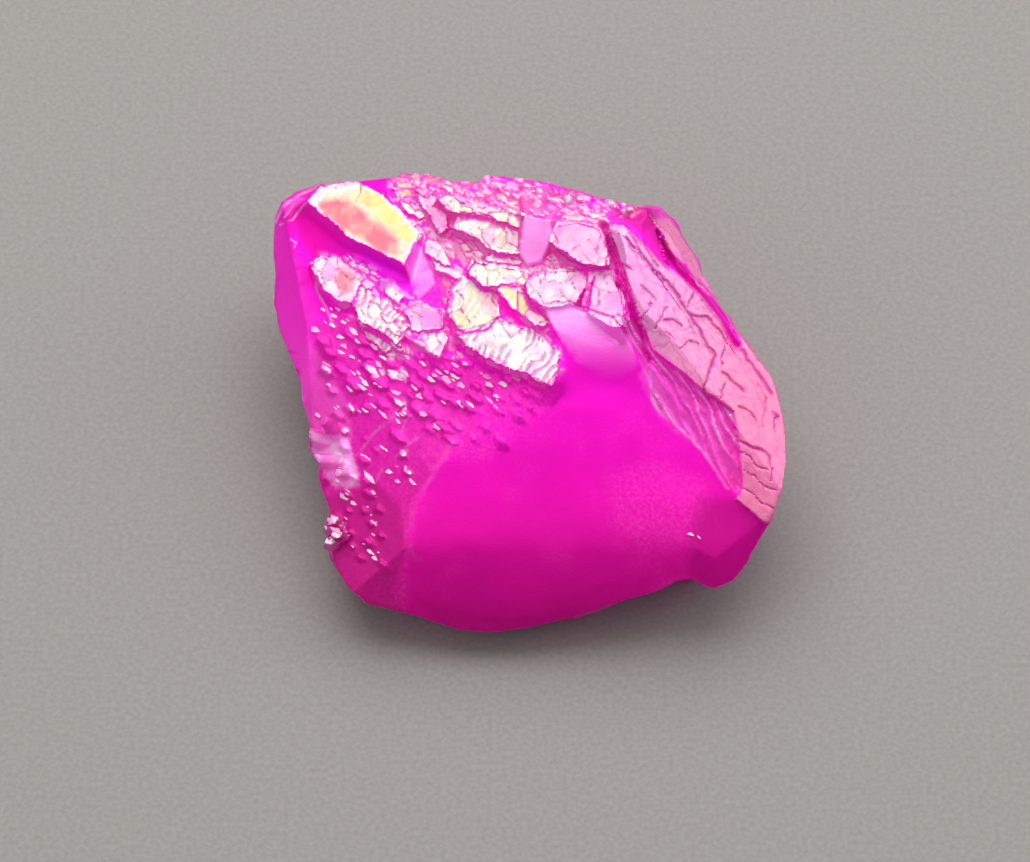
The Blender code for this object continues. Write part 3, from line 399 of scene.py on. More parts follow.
def lattice_draw(cells, seed):
    """A draw from 0 to 1 for each row of whole numbers, always the same for the same row."""
    mixed = np.full(len(cells), seed * 2654435761 % 4294967296, np.int64)
    for column, prime in zip(cells.T, (73856093, 19349663, 83492791)):
        mixed = (mixed ^ (column.astype(np.int64) * prime)) & 0xFFFFFFFF
        mixed = (mixed ^ (mixed >> 15)) * 1274126177 & 0xFFFFFFFF
    return ((mixed ^ (mixed >> 13)) & 0xFFFFFF) / 0xFFFFFF


def lumps(points, size, seed):
    """Smooth noise from -1 to 1 with lumps of that size."""
    place = points / size
    cell = np.floor(place)
    part = place - cell
    part = part * part * (3.0 - 2.0 * part)
    total = np.zeros(len(points))
    for corner in itertools.product((0, 1), repeat=points.shape[1]):
        weight = np.prod(np.where(corner, part, 1.0 - part), axis=1)
        total += weight * lattice_draw(cell + corner, seed)
    return total * 2.0 - 1.0


def rough_lumps(points, size, seed, octaves=3):
    """Lumps with finer lumps on them, from about -1 to 1."""
    return sum(lumps(points, size / 2 ** n, seed + n) / 2 ** n for n in range(octaves)) / 1.6


def near_cells(points, size, seed):
    """The cells around each point, and how far each one's own seat is from the point, in cell sizes."""
    place = points / size
    cell = np.floor(place)
    for step in itertools.product((-1, 0, 1), repeat=points.shape[1]):
        corner = cell + step
        seat = corner + np.stack([lattice_draw(corner, seed + n) for n in range(points.shape[1])], axis=1)
        yield corner, np.linalg.norm(seat - place, axis=1)


def chips(points, size, seed):
    """A draw for the uneven cell that each point is in, and how far it is from the cell's edge, in cell sizes."""
    nearest = np.full(len(points), FAR)
    second = np.full(len(points), FAR)
    draw = np.zeros(len(points))
    for corner, distance in near_cells(points, size, seed):
        closer = distance < nearest
        second = np.where(closer, nearest, np.minimum(second, distance))
        draw = np.where(closer, lattice_draw(corner, seed + 7), draw)
        nearest = np.minimum(nearest, distance)
    return draw, second - nearest


def scoops(points, size, seed):
    """Shallow hollows with sharp ridges between them, from 0 in a hollow to about 1 on a ridge."""
    lowest = np.full(len(points), FAR)
    for corner, distance in near_cells(points, size, seed):
        lowest = np.minimum(lowest, distance ** 2 + 0.35 * lattice_draw(corner, seed + 7))
    return lowest


def wander(points, noise, size, *seeds):
    """An uneven shift of each point, from about -1 to 1 each way."""
    return np.stack([noise(points, size, seed) for seed in seeds], axis=1)


def hidden_scoops(in_mm):
    """The broad and the small hollows of the broken sides that the picture doesn't show."""
    bent = in_mm + 0.9 * wander(in_mm, lumps, 3.2, 111, 112, 113)
    return scoops(bent * (0.8, 0.8, 1.3), 5.2, 14), scoops(bent * (0.7, 0.7, 1.5), 1.7, 15)


def turned(uv, degrees):
    """Picture points along and across a direction."""
    turn = math.radians(degrees)
    return np.stack((uv[:, 0] * math.cos(turn) + uv[:, 1] * math.sin(turn),
                     uv[:, 1] * math.cos(turn) - uv[:, 0] * math.sin(turn)), axis=1)


def line_distance(uv, points):
    """How far each picture point is from a line of points."""
    nearest = np.full(len(uv), FAR)
    corners = np.array(points)
    for start, end in zip(corners[:-1], corners[1:]):
        along = end - start
        part = np.clip((uv - start) @ along / (along @ along), 0.0, 1.0)
        gap = uv - start - part[:, None] * along
        nearest = np.minimum(nearest, np.hypot(gap[:, 0], gap[:, 1]))
    return nearest


def inside_by(uv, outline):
    """How far each picture point is inside an outline, negative outside it."""
    corners = np.array(outline)
    hit = np.zeros(len(uv), bool)
    for start, end in zip(corners, np.roll(corners, -1, axis=0)):
        rise = end[1] - start[1]
        if rise:
            crosses = (start[1] > uv[:, 1]) != (end[1] > uv[:, 1])
            hit ^= crosses & (uv[:, 0] < start[0] + (end[0] - start[0]) * (uv[:, 1] - start[1]) / rise)
    distance = line_distance(uv, outline + outline[:1])
    return np.where(hit, distance, -distance)


def zone(uv, outline, blur):
    """1 inside an outline, 0 outside it, with an edge that is blurred by that many millimetres."""
    return ease(-blur, blur, inside_by(uv, outline))


def strongest(uv, places, blur):
    """The strongest of the outlined places at each picture point."""
    return np.maximum.reduce([strength * zone(uv, outline, blur) for strength, outline in places.values()])


def mesh_arrays(mesh):
    """The places and normals of a mesh's corners."""
    count = len(mesh.vertices)
    places = np.empty(count * 3)
    normals = np.empty(count * 3)
    mesh.vertices.foreach_get("co", places)
    mesh.vertices.foreach_get("normal", normals)
    return places.reshape(-1, 3), normals.reshape(-1, 3)


def with_modifiers(obj):
    """Replaces an object's mesh by what its modifiers make of it."""
    seen = obj.evaluated_get(bpy.context.evaluated_depsgraph_get())
    made = bpy.data.meshes.new_from_object(seen)
    obj.modifiers.clear()
    obj.data = made


def fine_crystal(solid):
    """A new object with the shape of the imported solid, in an even fine mesh."""
    bm = bmesh.new()
    bm.from_mesh(solid.data)
    bmesh.ops.remove_doubles(bm, verts=bm.verts[:], dist=WELD)
    mesh = bpy.data.meshes.new("dressed_crystal")
    bm.to_mesh(mesh)
    bm.free()
    dressed = bpy.data.objects.new("dressed_crystal", mesh)
    bpy.context.scene.collection.objects.link(dressed)
    remesh = dressed.modifiers.new("even_mesh", "REMESH")
    remesh.mode = "VOXEL"
    remesh.voxel_size = VOXEL
    with_modifiers(dressed)
    soften_bends(dressed)
    return dressed


def soften_bends(dressed):
    """Rounds the bends between facets that are soft on the real crystal."""
    places, normals = mesh_arrays(dressed.data)
    uv = picture_points(places)
    facing = ease(0.12, 0.4, normals @ np.array(TO_EYE))
    weight = np.maximum.reduce([zone(uv, outline, 1.0) for outline in SOFT_BENDS]) * facing
    group = dressed.vertex_groups.new(name="soft_bends")
    for index in np.flatnonzero(weight > 0.01):
        group.add([int(index)], float(weight[index]), "REPLACE")
    smooth = dressed.modifiers.new("round_bends", "SMOOTH")
    smooth.factor = 0.5
    smooth.iterations = SMOOTHING_ROUNDS
    smooth.vertex_group = group.name
    with_modifiers(dressed)


def surface_behind(tree, point):
    """The place and normal of the surface that shows at a picture point."""
    return tree.ray_cast(at_depth(point, SIGHT_START), -TO_EYE)[:2]


def level_faces(mesh, solid):
    """Spreads the treads past their packed edges, and fills the cracked face up to the level of its plates."""
    tree = BVHTree.FromObject(solid, bpy.context.evaluated_depsgraph_get())
    places, normals = mesh_arrays(mesh)
    uv = picture_points(places)
    facing = ease(0.0, 0.3, normals @ np.array(TO_EYE))
    nearest, second, owner = tread_owner(uv)
    lean = outward(*TREAD_LEAN)
    sight = np.array(TO_EYE)
    rise = np.zeros(len(places))
    for index, (*finish, outline) in enumerate(TREADS.values()):
        middle = [float(value) for value in np.mean(outline, axis=0)]
        seat, normal = surface_behind(tree, middle)
        stand = 0.0 if normal.dot(lean) > 0.99 else LEAST_STAND * MM
        seat = np.array(seat + TO_EYE * stand)
        mine = (owner == index) & (nearest > 0.0)
        rise = np.where(mine, (seat - places) @ np.array(lean) / (sight @ np.array(lean)), rise)
    plate, plate_normal = surface_behind(tree, PLATE_POINT)
    across = np.array(plate_normal)
    to_plate = (np.array(plate) - places) @ across / (sight @ across)
    face = zone(uv, PEACH_FACE, 0.25) * ease(0.45, 0.75, line_distance(uv, MAGENTA_BAND))
    face *= ease(0.3, 0.6, line_distance(uv, CRACKS[0][-1])) * (1.0 - zone(uv, CREST, 0.3))
    rise = np.where(face > 0.0, to_plate * face, rise)
    rise = np.clip(rise, 0.0, MOST_FILL * MM) * facing
    mesh.vertices.foreach_set("co", (places + rise[:, None] * sight).ravel())
    mesh.update()


def crack_depth(uv):
    """How deep the cracks are at each picture point, in millimetres, and how dark they look there."""
    bent = uv + 0.16 * wander(uv, lumps, 0.7, 61, 62)
    depth = np.zeros(len(uv))
    dark = np.zeros(len(uv))
    for half_width, deep, points in CRACKS:
        near = 1.0 - line_distance(bent, points) / half_width
        depth = np.maximum(depth, deep * np.clip(near, 0.0, 1.0))
        dark = np.maximum(dark, np.clip(near * 1.6, 0.0, 1.0))
    return depth, dark


def crest_ribs(uv):
    """Uneven ribs of the crest, 0 to 1, sharp on top."""
    run = turned(uv, CREST_SLOPE)
    wavy = run[:, 1] + 0.6 * lumps(run * (0.3, 1.0), 2.2, 31) + 0.25 * lumps(run * (0.4, 1.0), 0.8, 32)
    profile = 1.0 - np.abs(2.0 * ((wavy / RIB_GAP) % 1.0) - 1.0)
    return profile * (0.78 + 0.4 * lumps(run * (0.2, 1.0), 0.9, 33))


def tread_owner(uv):
    """How far each picture point is inside its nearest tread and the next one, and which tread that is."""
    ragged = uv + 0.3 * wander(uv, rough_lumps, 1.0, 41, 45)
    nearest = np.full(len(uv), -FAR)
    second = np.full(len(uv), -FAR)
    owner = np.zeros(len(uv), int)
    for index, (*finish, reach, outline) in enumerate(TREADS.values()):
        inside = inside_by(ragged, outline) + reach
        closer = inside > nearest
        second = np.where(closer, nearest, np.maximum(second, inside))
        owner = np.where(closer, index, owner)
        nearest = np.maximum(nearest, inside)
    return nearest, second, owner


def tread_field(uv):
    """How pale with a painted flash, how warm and how scaled each picture point is by the treads, their rims and the
    seams between.
    """
    nearest, second, owner = tread_owner(uv)
    finish = np.array([row[:3] for row in TREADS.values()])[owner]
    covered = ease(-0.05, 0.09, nearest)
    pale = finish[:, 0]
    warm = finish[:, 1]
    for strength, warmth, outline in TONES.values():
        toned = zone(uv, outline, 0.2)
        pale = pale + (strength - pale) * toned
        warm = warm + (warmth - warm) * toned
    seam = covered * (1.0 - ease(0.02, 0.2, nearest - second))
    rim = covered * (1.0 - ease(0.16, 0.36, nearest)) * ease(-0.6, 0.0, lumps(uv, 1.3, 48))
    pale = np.maximum(pale, rim) * covered
    warm = warm + (RIM_WARMTH - warm) * rim
    return pale, warm, finish[:, 2] * covered, seam, rim


def lilac_field(uv):
    """How strongly the leaning facets colour each picture point."""
    lilac = np.zeros(len(uv))
    for top, foot, outline in LILACS.values():
        heights = [corner[1] for corner in outline]
        height = (uv[:, 1] - min(heights)) / (max(heights) - min(heights))
        lilac = np.maximum(lilac, zone(uv, outline, 0.14) * (foot + (top - foot) * ease(0.0, 0.9, height)))
    return lilac


def edge_field(uv):
    """How pale with a painted highlight, how warm and how coral the fine edges are at each picture point."""
    bent = uv + 0.16 * wander(uv, rough_lumps, 0.9, 65, 66)
    broken = np.clip(0.75 + 0.9 * lumps(uv, 0.7, 67), 0.0, 1.0)
    pale = np.zeros(len(uv))
    warm = np.zeros(len(uv))
    coral = np.zeros(len(uv))
    for half_width, paleness, warmth, redness, points in EDGES:
        near = np.clip(1.5 - 1.5 * line_distance(bent, points) / half_width, 0.0, 1.0) * broken
        pale = np.maximum(pale, near * paleness)
        warm = np.maximum(warm, near * warmth)
        coral = np.maximum(coral, near * redness)
    return pale, warm, coral


def scale_flashes(uv, pale):
    """Small scales with a painted flash of light between the patches, most of them close to a patch."""
    crowd = 0.36 + 0.3 * lumps(uv, 2.2, 83) + 0.34 * ease(-1.1, -0.1, tread_owner(uv)[0])
    crowd += 0.25 * zone(uv, STEP_HAZE, 0.6)
    shown = np.zeros(len(uv))
    for size, seed in ((0.62, 81), (1.05, 101)):
        draw, edge = chips(turned(uv, RIBBON_RUN) * (0.5, 1.0), size, seed)
        scale = (0.4 + 0.6 * draw / np.maximum(crowd, 0.1)) * ease(0.05, 0.2, edge)
        shown = np.maximum(shown, np.where((draw < crowd) & (pale < 0.4), scale, 0.0))
        crowd = crowd * 0.6
    away = np.maximum.reduce([zone(uv, LILACS[name][-1], 0.3) for name in ("violet_block", "shell", "gold_end")])
    return shown * zone(uv, STEP_FIELD, 0.4) * (1.0 - away)


def knob_crust(uv):
    """Rounded knobs of the top edge: their height from 0 to 1, and a draw for each."""
    bent = uv + 0.2 * wander(uv, lumps, 0.8, 87, 88)
    draw, edge = chips(turned(bent, -12) * (0.8, 1.1), 1.15, 85)
    return ease(0.0, 0.5, edge) * (0.4 + 0.6 * draw), draw


def tread_scales(uv):
    """Dark curved lines that cross a ribbon, those between the flakes of any tread, and a draw for each flake."""
    run = turned(uv, RIBBON_RUN)
    bent = run[:, 0] + 0.55 * lumps(uv, 1.8, 89) + 0.25 * rough_lumps(uv, 0.8, 92)
    wave = np.abs((bent / RIPPLE_GAP) % 1.0 - 0.5) * 2.0
    lines = (1.0 - ease(0.1, 0.55, wave)) * ease(-0.5, 0.05, lumps(run * (1.0, 0.5), 0.7, 95))
    bent = uv + 0.3 * wander(uv, rough_lumps, 1.4, 97, 98)
    draw, edge = chips(turned(bent, 20) * (1.0, 0.6), 1.1, 13)
    whole = np.maximum(zone(uv, TREADS["gold_step"][-1], 0.4), zone(uv, TREADS["middle_ribbon"][-1], 0.4))
    flakes = (1.0 - ease(0.0, 0.14, edge)) * (draw > 0.35) * (1.0 - 0.75 * whole)
    return lines, flakes, draw


def shape_faces(mesh):
    """Moves the fine mesh's corners: fracture, ripples, ribs and cracks, each in its own place."""
    places, normals = mesh_arrays(mesh)
    uv = picture_points(places)
    in_mm = places / MM
    facing = ease(0.12, 0.4, normals @ np.array(TO_EYE))
    lift = np.zeros(len(places))

    smooth = zone(uv, SMOOTH_FRONT, 0.5) * facing
    peach = np.maximum(zone(uv, PEACH_FACE, 0.3), zone(uv, OUTER_STRIP, 0.2)) * facing
    crest = zone(uv, CREST, 0.35) * facing
    slope = zone(uv, ROUGH_SLOPE, 0.6) * facing
    steps, _, rippled, seam, rim = tread_field(uv)
    scales = scale_flashes(uv, steps)
    crust = zone(uv, TOP_CRUST, 0.3) * facing
    hidden = 1.0 - facing

    lift += smooth * (RELIEF["waves"] * rough_lumps(in_mm, 6.0, 1) + RELIEF["dimples"] * rough_lumps(in_mm, 1.3, 2))
    lift += RELIEF["swell"] * facing * ease(0.5, 4.0, inside_by(uv, SMOOTH_FRONT)) * lumps(in_mm, 8.0, 8)

    plate, plate_edge = chips(turned(uv, -32) * (0.55, 1.0), 1.5, 11)
    lift += peach * (RELIEF["plates"] * (plate - 0.5) * ease(0.0, 0.12, plate_edge)
                     + RELIEF["plate_grain"] * rough_lumps(in_mm, 1.8, 3))
    lift += crest * (RELIEF["ribs"] * (crest_ribs(uv) - 0.6) + RELIEF["rib_grain"] * rough_lumps(in_mm, 0.9, 4))

    grit, _ = chips(turned(uv, RIBBON_RUN) * (0.5, 1.0), 0.8, 12)
    lift += slope * (RELIEF["grit"] * (grit - 0.5) + RELIEF["slope_grain"] * rough_lumps(in_mm, 0.7, 5))
    ripple, flakes, flake_draw = tread_scales(uv)
    dents = RELIEF["ripples"] * rippled * ripple + RELIEF["flake_gaps"] * flakes + RELIEF["flake_steps"] * flake_draw
    lift -= facing * (steps * dents + RELIEF["seams"] * seam)
    edge_highlight, _, edge_coral = edge_field(uv)
    lift += facing * RELIEF["edges"] * np.maximum(edge_highlight, edge_coral)
    lift += facing * (RELIEF["scales"] * scales + RELIEF["rims"] * rim)
    lift += crust * RELIEF["knobs"] * (knob_crust(uv)[0] - 0.3)

    broad, small = hidden_scoops(in_mm)
    lift += hidden * (RELIEF["broad_scoops"] * (broad - 0.45) + RELIEF["small_scoops"] * (small - 0.45)
                      + RELIEF["hidden_grain"] * rough_lumps(in_mm, 1.6, 6))

    lift -= facing * crack_depth(uv)[0]

    moved = places + normals * lift[:, None] * MM
    low, high = (np.array(corner) for corner in CAD_BOX)
    moved = np.clip(moved, low, high)
    mesh.vertices.foreach_set("co", moved.ravel())
    mesh.update()


def thin_out(dressed):
    """Leaves out triangles, none of them where the steps, the ribs and the crust need them."""
    places, normals = mesh_arrays(dressed.data)
    uv = picture_points(places)
    detail = np.maximum.reduce([zone(uv, outline, 0.3) for outline in (STEP_FIELD, TOP_CRUST, CREST)])
    detail = np.maximum(detail, crack_depth(uv)[1])
    detail *= normals @ np.array(TO_EYE) > 0.1
    plain = dressed.vertex_groups.new(name="plain")
    plain.add(np.flatnonzero(detail < 0.5).tolist(), 1.0, "REPLACE")
    dressed.data.calc_loop_triangles()
    keep = dressed.modifiers.new("fewer_triangles", "DECIMATE")
    keep.ratio = min(1.0, MOST_TRIANGLES / len(dressed.data.loop_triangles))
    keep.use_collapse_triangulate = True
    keep.vertex_group = plain.name
    with_modifiers(dressed)


def add_growth_block(bm, tree, point, length, width, draw):
    """Sets a small block with a flat leaning top on the surface behind a picture point."""
    hit, _ = surface_behind(tree, point)
    if hit is None:
        return
    lean = outward(*TREAD_LEAN)
    sink = (0.5 + 0.4 * length) * MM
    top = hit + TO_EYE * draw.uniform(0.05, 0.13) * MM
    slant = BLOCK_SLANT + draw.uniform(-0.3, 0.3)
    reach = [draw.uniform(0.5, 1.4) for corner in range(BLOCK_CORNERS)]
    rings = []
    for depth, swell in ((0.0, 1.0), (0.12 * MM, 1.14), (sink, 1.5)):
        ring = []
        for corner in range(BLOCK_CORNERS):
            turn = math.tau * (corner + 0.25 * reach[corner]) / BLOCK_CORNERS
            along = 0.5 * length * swell * reach[corner] * math.cos(turn)
            across = 0.5 * width * swell * reach[-1 - corner] * math.sin(turn)
            du = along * math.cos(slant) - across * math.sin(slant)
            dv = along * math.sin(slant) + across * math.cos(slant)
            start = top + MM * (du * PICTURE_RIGHT + dv * PICTURE_UP)
            seat = start + TO_EYE * ((top - start).dot(lean) / TO_EYE.dot(lean)) - lean * depth
            ring.append(bm.verts.new(seat))
        rings.append(ring)
    bm.faces.new(rings[0])
    bm.faces.new(list(reversed(rings[-1])))
    for upper, lower in zip(rings[:-1], rings[1:]):
        for i in range(BLOCK_CORNERS):
            j = (i + 1) % BLOCK_CORNERS
            bm.faces.new((upper[i], lower[i], lower[j], upper[j]))


def growth_blocks(dressed):
    """All the small growth blocks, as one mesh of closed blocks."""
    tree = BVHTree.FromObject(dressed, bpy.context.evaluated_depsgraph_get())
    bm = bmesh.new()
    draw = random.Random(DASH_SEED)
    for u, v, length, width in DASHES:
        add_growth_block(bm, tree, (u, v), length, width, draw)
    for seed, number, middle, half, (short, long) in SCATTERS:
        draw = random.Random(seed)
        for count in range(number):
            point = (middle[0] + half[0] * draw.uniform(-1, 1), middle[1] + half[1] * draw.uniform(-1, 1))
            length = draw.uniform(short, long)
            add_growth_block(bm, tree, point, length, length * draw.uniform(0.28, 0.5), draw)
    bmesh.ops.recalc_face_normals(bm, faces=bm.faces[:])
    return bm


def join_blocks(dressed, blocks):
    """Adds the growth blocks to the crystal's mesh. Gives the number of corners that were there before."""
    before = len(dressed.data.vertices)
    bm = bmesh.new()
    bm.from_mesh(dressed.data)
    for face in bm.faces:
        face.smooth = True
    made = bpy.data.meshes.new("growth_blocks")
    blocks.to_mesh(made)
    blocks.free()
    bm.from_mesh(made)
    bmesh.ops.triangulate(bm, faces=bm.faces[:])
    bm.to_mesh(dressed.data)
    bm.free()
    dressed.data.set_sharp_from_angle(angle=SHARP_EDGE)
    return before


def read_skin(mesh, first_block):
    """What the masks are worked out from, for each corner of the mesh."""
    places, normals = mesh_arrays(mesh)
    uv = picture_points(places)
    skin = SimpleNamespace(uv=uv, in_mm=places / MM, towards_eye=normals @ np.array(TO_EYE))
    skin.facing = ease(0.1, 0.35, skin.towards_eye)
    skin.shown = ease(-0.02, 0.06, skin.towards_eye)
    # How squarely a face leans the way of the treads, which decides where a painted flash falls
    skin.flat = ease(0.88, 0.975, normals @ np.array(outward(*TREAD_LEAN)))
    skin.block_corner = np.arange(len(places)) - first_block
    skin.is_block = skin.block_corner >= 0
    skin.steps, skin.warm, skin.rippled, skin.seam, skin.rim = tread_field(uv)
    skin.ripple, skin.flakes, skin.flake_draw = tread_scales(uv)
    skin.crust = zone(uv, TOP_CRUST, 0.3)
    knobs, skin.knob_draw = knob_crust(uv)
    skin.knobs = skin.crust * ease(0.25, 0.6, knobs)
    skin.ribs = crest_ribs(uv)
    skin.crest = zone(uv, CREST, 0.3)
    skin.edges = edge_field(uv)
    skin.corner = zone(uv, CORNER, 0.4)
    return skin


def pale_and_warm(skin):
    """How pale the coating is with its painted flashes of light, and how warm it is there."""
    uv, in_mm, steps, flat = skin.uv, skin.in_mm, skin.steps, skin.flat
    edge_highlight, edge_warm, _ = skin.edges
    edge_highlight = edge_highlight * (1.0 - skin.corner)
    warm = np.where(edge_highlight > 0.3, edge_warm, skin.warm)
    warm = np.where(skin.crust * (steps < 0.2) > 0.3, 0.22, warm) + 0.2 * rough_lumps(in_mm, 1.1, 71)
    broken = steps * (1.0 - 0.7 * skin.rippled) * (1.0 - zone(uv, TREADS["gold_step"][-1], 0.4))
    warm += 0.22 * (skin.flake_draw - 0.5) * broken
    dim = 0.3 * (skin.flake_draw < 0.22) * (1.0 - skin.rim) * broken

    # Painted flashes of light: on step tops that lean the tread way, scales, knobs, rib tops, glints, edges and slope
    # tops
    pale = np.maximum(steps * (1.0 - dim) * (0.06 + 0.94 * flat), scale_flashes(uv, steps) * (0.4 + 0.6 * flat))
    pale = np.maximum(pale, skin.knobs * (0.25 + 0.65 * ease(0.55, 0.8, skin.knob_draw)))
    pale = np.maximum(pale, 0.9 * skin.crest * ease(0.56, 0.86, skin.ribs))
    for strength, outline in GLINTS.values():
        shining = zone(uv, outline, 0.25) * ease(-0.5, 0.4, rough_lumps(in_mm, 0.9, 80))
        pale = np.maximum(pale, strength * shining)
        warm = np.where(shining > 0.1, 0.25, warm)
    pale = np.maximum(pale, edge_highlight)
    cell, cell_edge = chips(turned(uv, RIBBON_RUN) * (0.6, 1.0), 1.1, 103)
    glint = 0.9 * (cell > 0.8) * ease(0.1, 0.2, cell_edge) * (uv[:, 0] < -12.0)
    pale = np.maximum(pale, glint * ease(0.6, 0.8, flat) * zone(uv, ROUGH_SLOPE, 0.5)) * skin.facing

    # A painted flash on the top of each growth block, less on its sides
    block, corner = np.divmod(skin.block_corner, BLOCK_CORNERS * BLOCK_RINGS)
    tone = lattice_draw(block.clip(0)[:, None], 90)
    pale = np.where(skin.is_block, np.where(corner < BLOCK_CORNERS, 0.6 + 0.4 * tone, 0.2), pale)
    return pale, np.where(skin.is_block, 0.06 + 0.3 * tone, warm)


def lilac_mask(skin):
    """The facets that lean their own way, and painted glints on the ridges of the back, the knobs and the edges of
    the left corner.
    """
    lilac = lilac_field(skin.uv) * skin.facing * (0.9 + 0.25 * rough_lumps(skin.in_mm, 1.6, 75))
    broad, _ = hidden_scoops(skin.in_mm)
    # Painted glints on the ridges of the back
    ridge = (1.0 - skin.facing) * ease(0.55, 0.95, broad) * ease(-0.1, 0.6, rough_lumps(skin.in_mm, 2.0, 77))
    # Painted highlights on the edges of the left corner and on the knobs
    lit = np.maximum(1.4 * skin.edges[0] * skin.corner, 0.75 * skin.knobs) * skin.shown
    return np.maximum.reduce([lilac, 0.5 * ridge, lit]) * ~skin.is_block


def coral_mask(skin, pale, lilac):
    """The salmon places on the steps, the haze between the steps, and the coral edges."""
    uv, in_mm = skin.uv, skin.in_mm
    coral = strongest(uv, CORALS, 0.3) * (0.2 + 0.8 * skin.flat)
    haze = zone(uv, STEP_HAZE, 0.6) * ease(-0.7, 0.3, rough_lumps(in_mm, 1.2, 76))
    coral = np.maximum(coral, 0.6 * haze * (1.0 - pale) * (1.0 - lilac))
    coral = np.maximum(coral, 0.9 * skin.crust * ease(-0.2, 0.5, rough_lumps(in_mm, 2.2, 74)) * (1.0 - pale))
    blush = skin.steps * (1.0 - skin.rim) * ease(0.15, 0.8, rough_lumps(in_mm, 0.9, 78))
    coral = np.maximum.reduce([coral, 0.45 * blush, skin.edges[2] * (1.0 - skin.corner)])
    return coral * skin.facing * np.clip(0.95 + 0.9 * rough_lumps(in_mm, 1.1, 72), 0.0, 1.0) * ~skin.is_block


def peach_and_band(skin):
    """The cracked face with the ribs of its crest, and the magenta band near the face's rim."""
    in_band = 1.0 - ease(0.25, 0.7, line_distance(skin.uv, MAGENTA_BAND))
    face = np.maximum(zone(skin.uv, PEACH_FACE, 0.25), zone(skin.uv, OUTER_STRIP, 0.15))
    ribs = skin.crest * (0.2 + 0.75 * ease(0.4, 0.66, skin.ribs))
    peach = np.maximum(face * (1.0 - in_band) * (1.0 - skin.crest), ribs)
    return peach * skin.facing * ~skin.is_block, in_band


def painted_shade_mask(skin, in_band):
    """Painted shade in the darker places: hollows, the rough slope, the low part of the fracture and the gaps of the
    crest.
    """
    uv = skin.uv
    painted_shade = strongest(uv, PAINTED_SHADES, 0.7)
    # Painted shade, deeper towards the bottom of the smooth fracture
    below = -uv[:, 1]
    sunk = ease(0.5, 7.5, below + 1.2 * rough_lumps(skin.in_mm, 5.0, 84)) * (1.0 - ease(7.5, 12.0, below))
    slope = np.maximum(zone(uv, ROUGH_SLOPE, 0.4), zone(uv, SLOPE_END, 0.6))
    gaps = skin.crest * (1.0 - ease(0.2, 0.5, skin.ribs))
    return np.maximum.reduce([painted_shade, 0.22 * sunk * zone(uv, SMOOTH_FRONT, 0.8), 0.5 * skin.flat * slope,
                              0.5 * in_band, 0.28 * gaps]) * skin.facing


def rose_mask(skin):
    """How far the cracked face has turned from lilac pink to salmon, and the gold step's wall to violet."""
    u, v = skin.uv.T
    rose = ease(-2.0, 26.0, u - 0.55 * (v - 10.0)) * (1.0 - 0.6 * skin.crest)
    rose = np.maximum(rose, 0.85 * zone(skin.uv, OUTER_STRIP, 0.3))
    wall = ease(-21.0, -14.6, u + 1.5 * rough_lumps(skin.in_mm, 2.5, 79))
    return np.where(zone(skin.uv, FLANK, 0.5) > 0.0, wall, rose)


def veil_mask(skin, flank):
    """Where the coating is powdery and less metallic."""
    uv = skin.uv
    cloudy = ease(0.0, 0.7, rough_lumps(skin.in_mm, 3.4, 82)) * zone(uv, SMOOTH_FRONT, 1.0)
    veils = [zone(uv, ROUGH_SLOPE, 0.8), 0.6 * zone(uv, VEIL, 1.2), 0.34 * cloudy, 0.8 * zone(uv, SLOPE_END, 1.2),
             zone(uv, STEP_FIELD, 0.8)]
    return np.maximum.reduce(veils) * skin.facing * (1.0 - flank)


def paint_masks(mesh, first_block):
    """Writes the masks that the coating's colours are mixed by, one number for each corner of the mesh."""
    skin = read_skin(mesh, first_block)
    pale, warm = pale_and_warm(skin)
    lilac = lilac_mask(skin)
    peach, in_band = peach_and_band(skin)
    flank = zone(skin.uv, FLANK, 0.25) * skin.shown * ease(0.1, 0.3, 1 - skin.flat)
    lines = skin.steps * np.clip(skin.rippled * skin.ripple + 0.85 * skin.flakes + skin.seam, 0.0, 1.0)
    # Painted light and shade by height: brighter high up, darker low down, on the front and on the hidden sides
    front_painted_light = ease(-19.0, 12.0, skin.uv[:, 1] + 1.2 * rough_lumps(skin.in_mm, 9.0, 73))
    back_painted_light = ease(-6.0, 26.0, skin.in_mm[:, 2])
    masks = {
        # The pale coating with its painted flashes of light
        "pale": pale,
        "warm": warm,
        "coral": coral_mask(skin, pale, lilac),
        "peach": peach,
        "rose": rose_mask(skin),
        "hollow": crack_depth(skin.uv)[1] * skin.facing * ~skin.is_block,
        # Painted light and shade: brighter high up, darker low down
        "painted_light": skin.facing * front_painted_light + (1.0 - skin.facing) * back_painted_light,
        "veil": veil_mask(skin, flank),
        "flank": flank,
        "ripple": skin.facing * lines * ~skin.is_block,
        "lilac": lilac,
        # Painted shade in hollows, on the slope and low down
        "painted_shade": painted_shade_mask(skin, in_band),
        "back": (1.0 - ease(-0.05, 0.2, skin.towards_eye)) * (1.0 - flank),
    }
    for name, values in masks.items():
        layer = mesh.attributes.new(name, "FLOAT", "POINT")
        layer.data.foreach_set("value", np.clip(values, 0.0, 1.0).astype(np.float32))


def node_tree(material):
    """The nodes of a new material, and its shader."""
    material.use_nodes = True
    return material.node_tree, material.node_tree.nodes["Principled BSDF"]


def mask(tree, name):
    """The output with a mask of the mesh."""
    node = tree.nodes.new("ShaderNodeAttribute")
    node.attribute_name = name
    return node.outputs["Fac"]


def feed(tree, socket, value):
    """Links an output to a socket, or sets the socket to a number or a colour."""
    if isinstance(value, bpy.types.NodeSocket):
        tree.links.new(value, socket)
    elif isinstance(value, tuple):
        socket.default_value = (*value, 1.0)
    else:
        socket.default_value = value


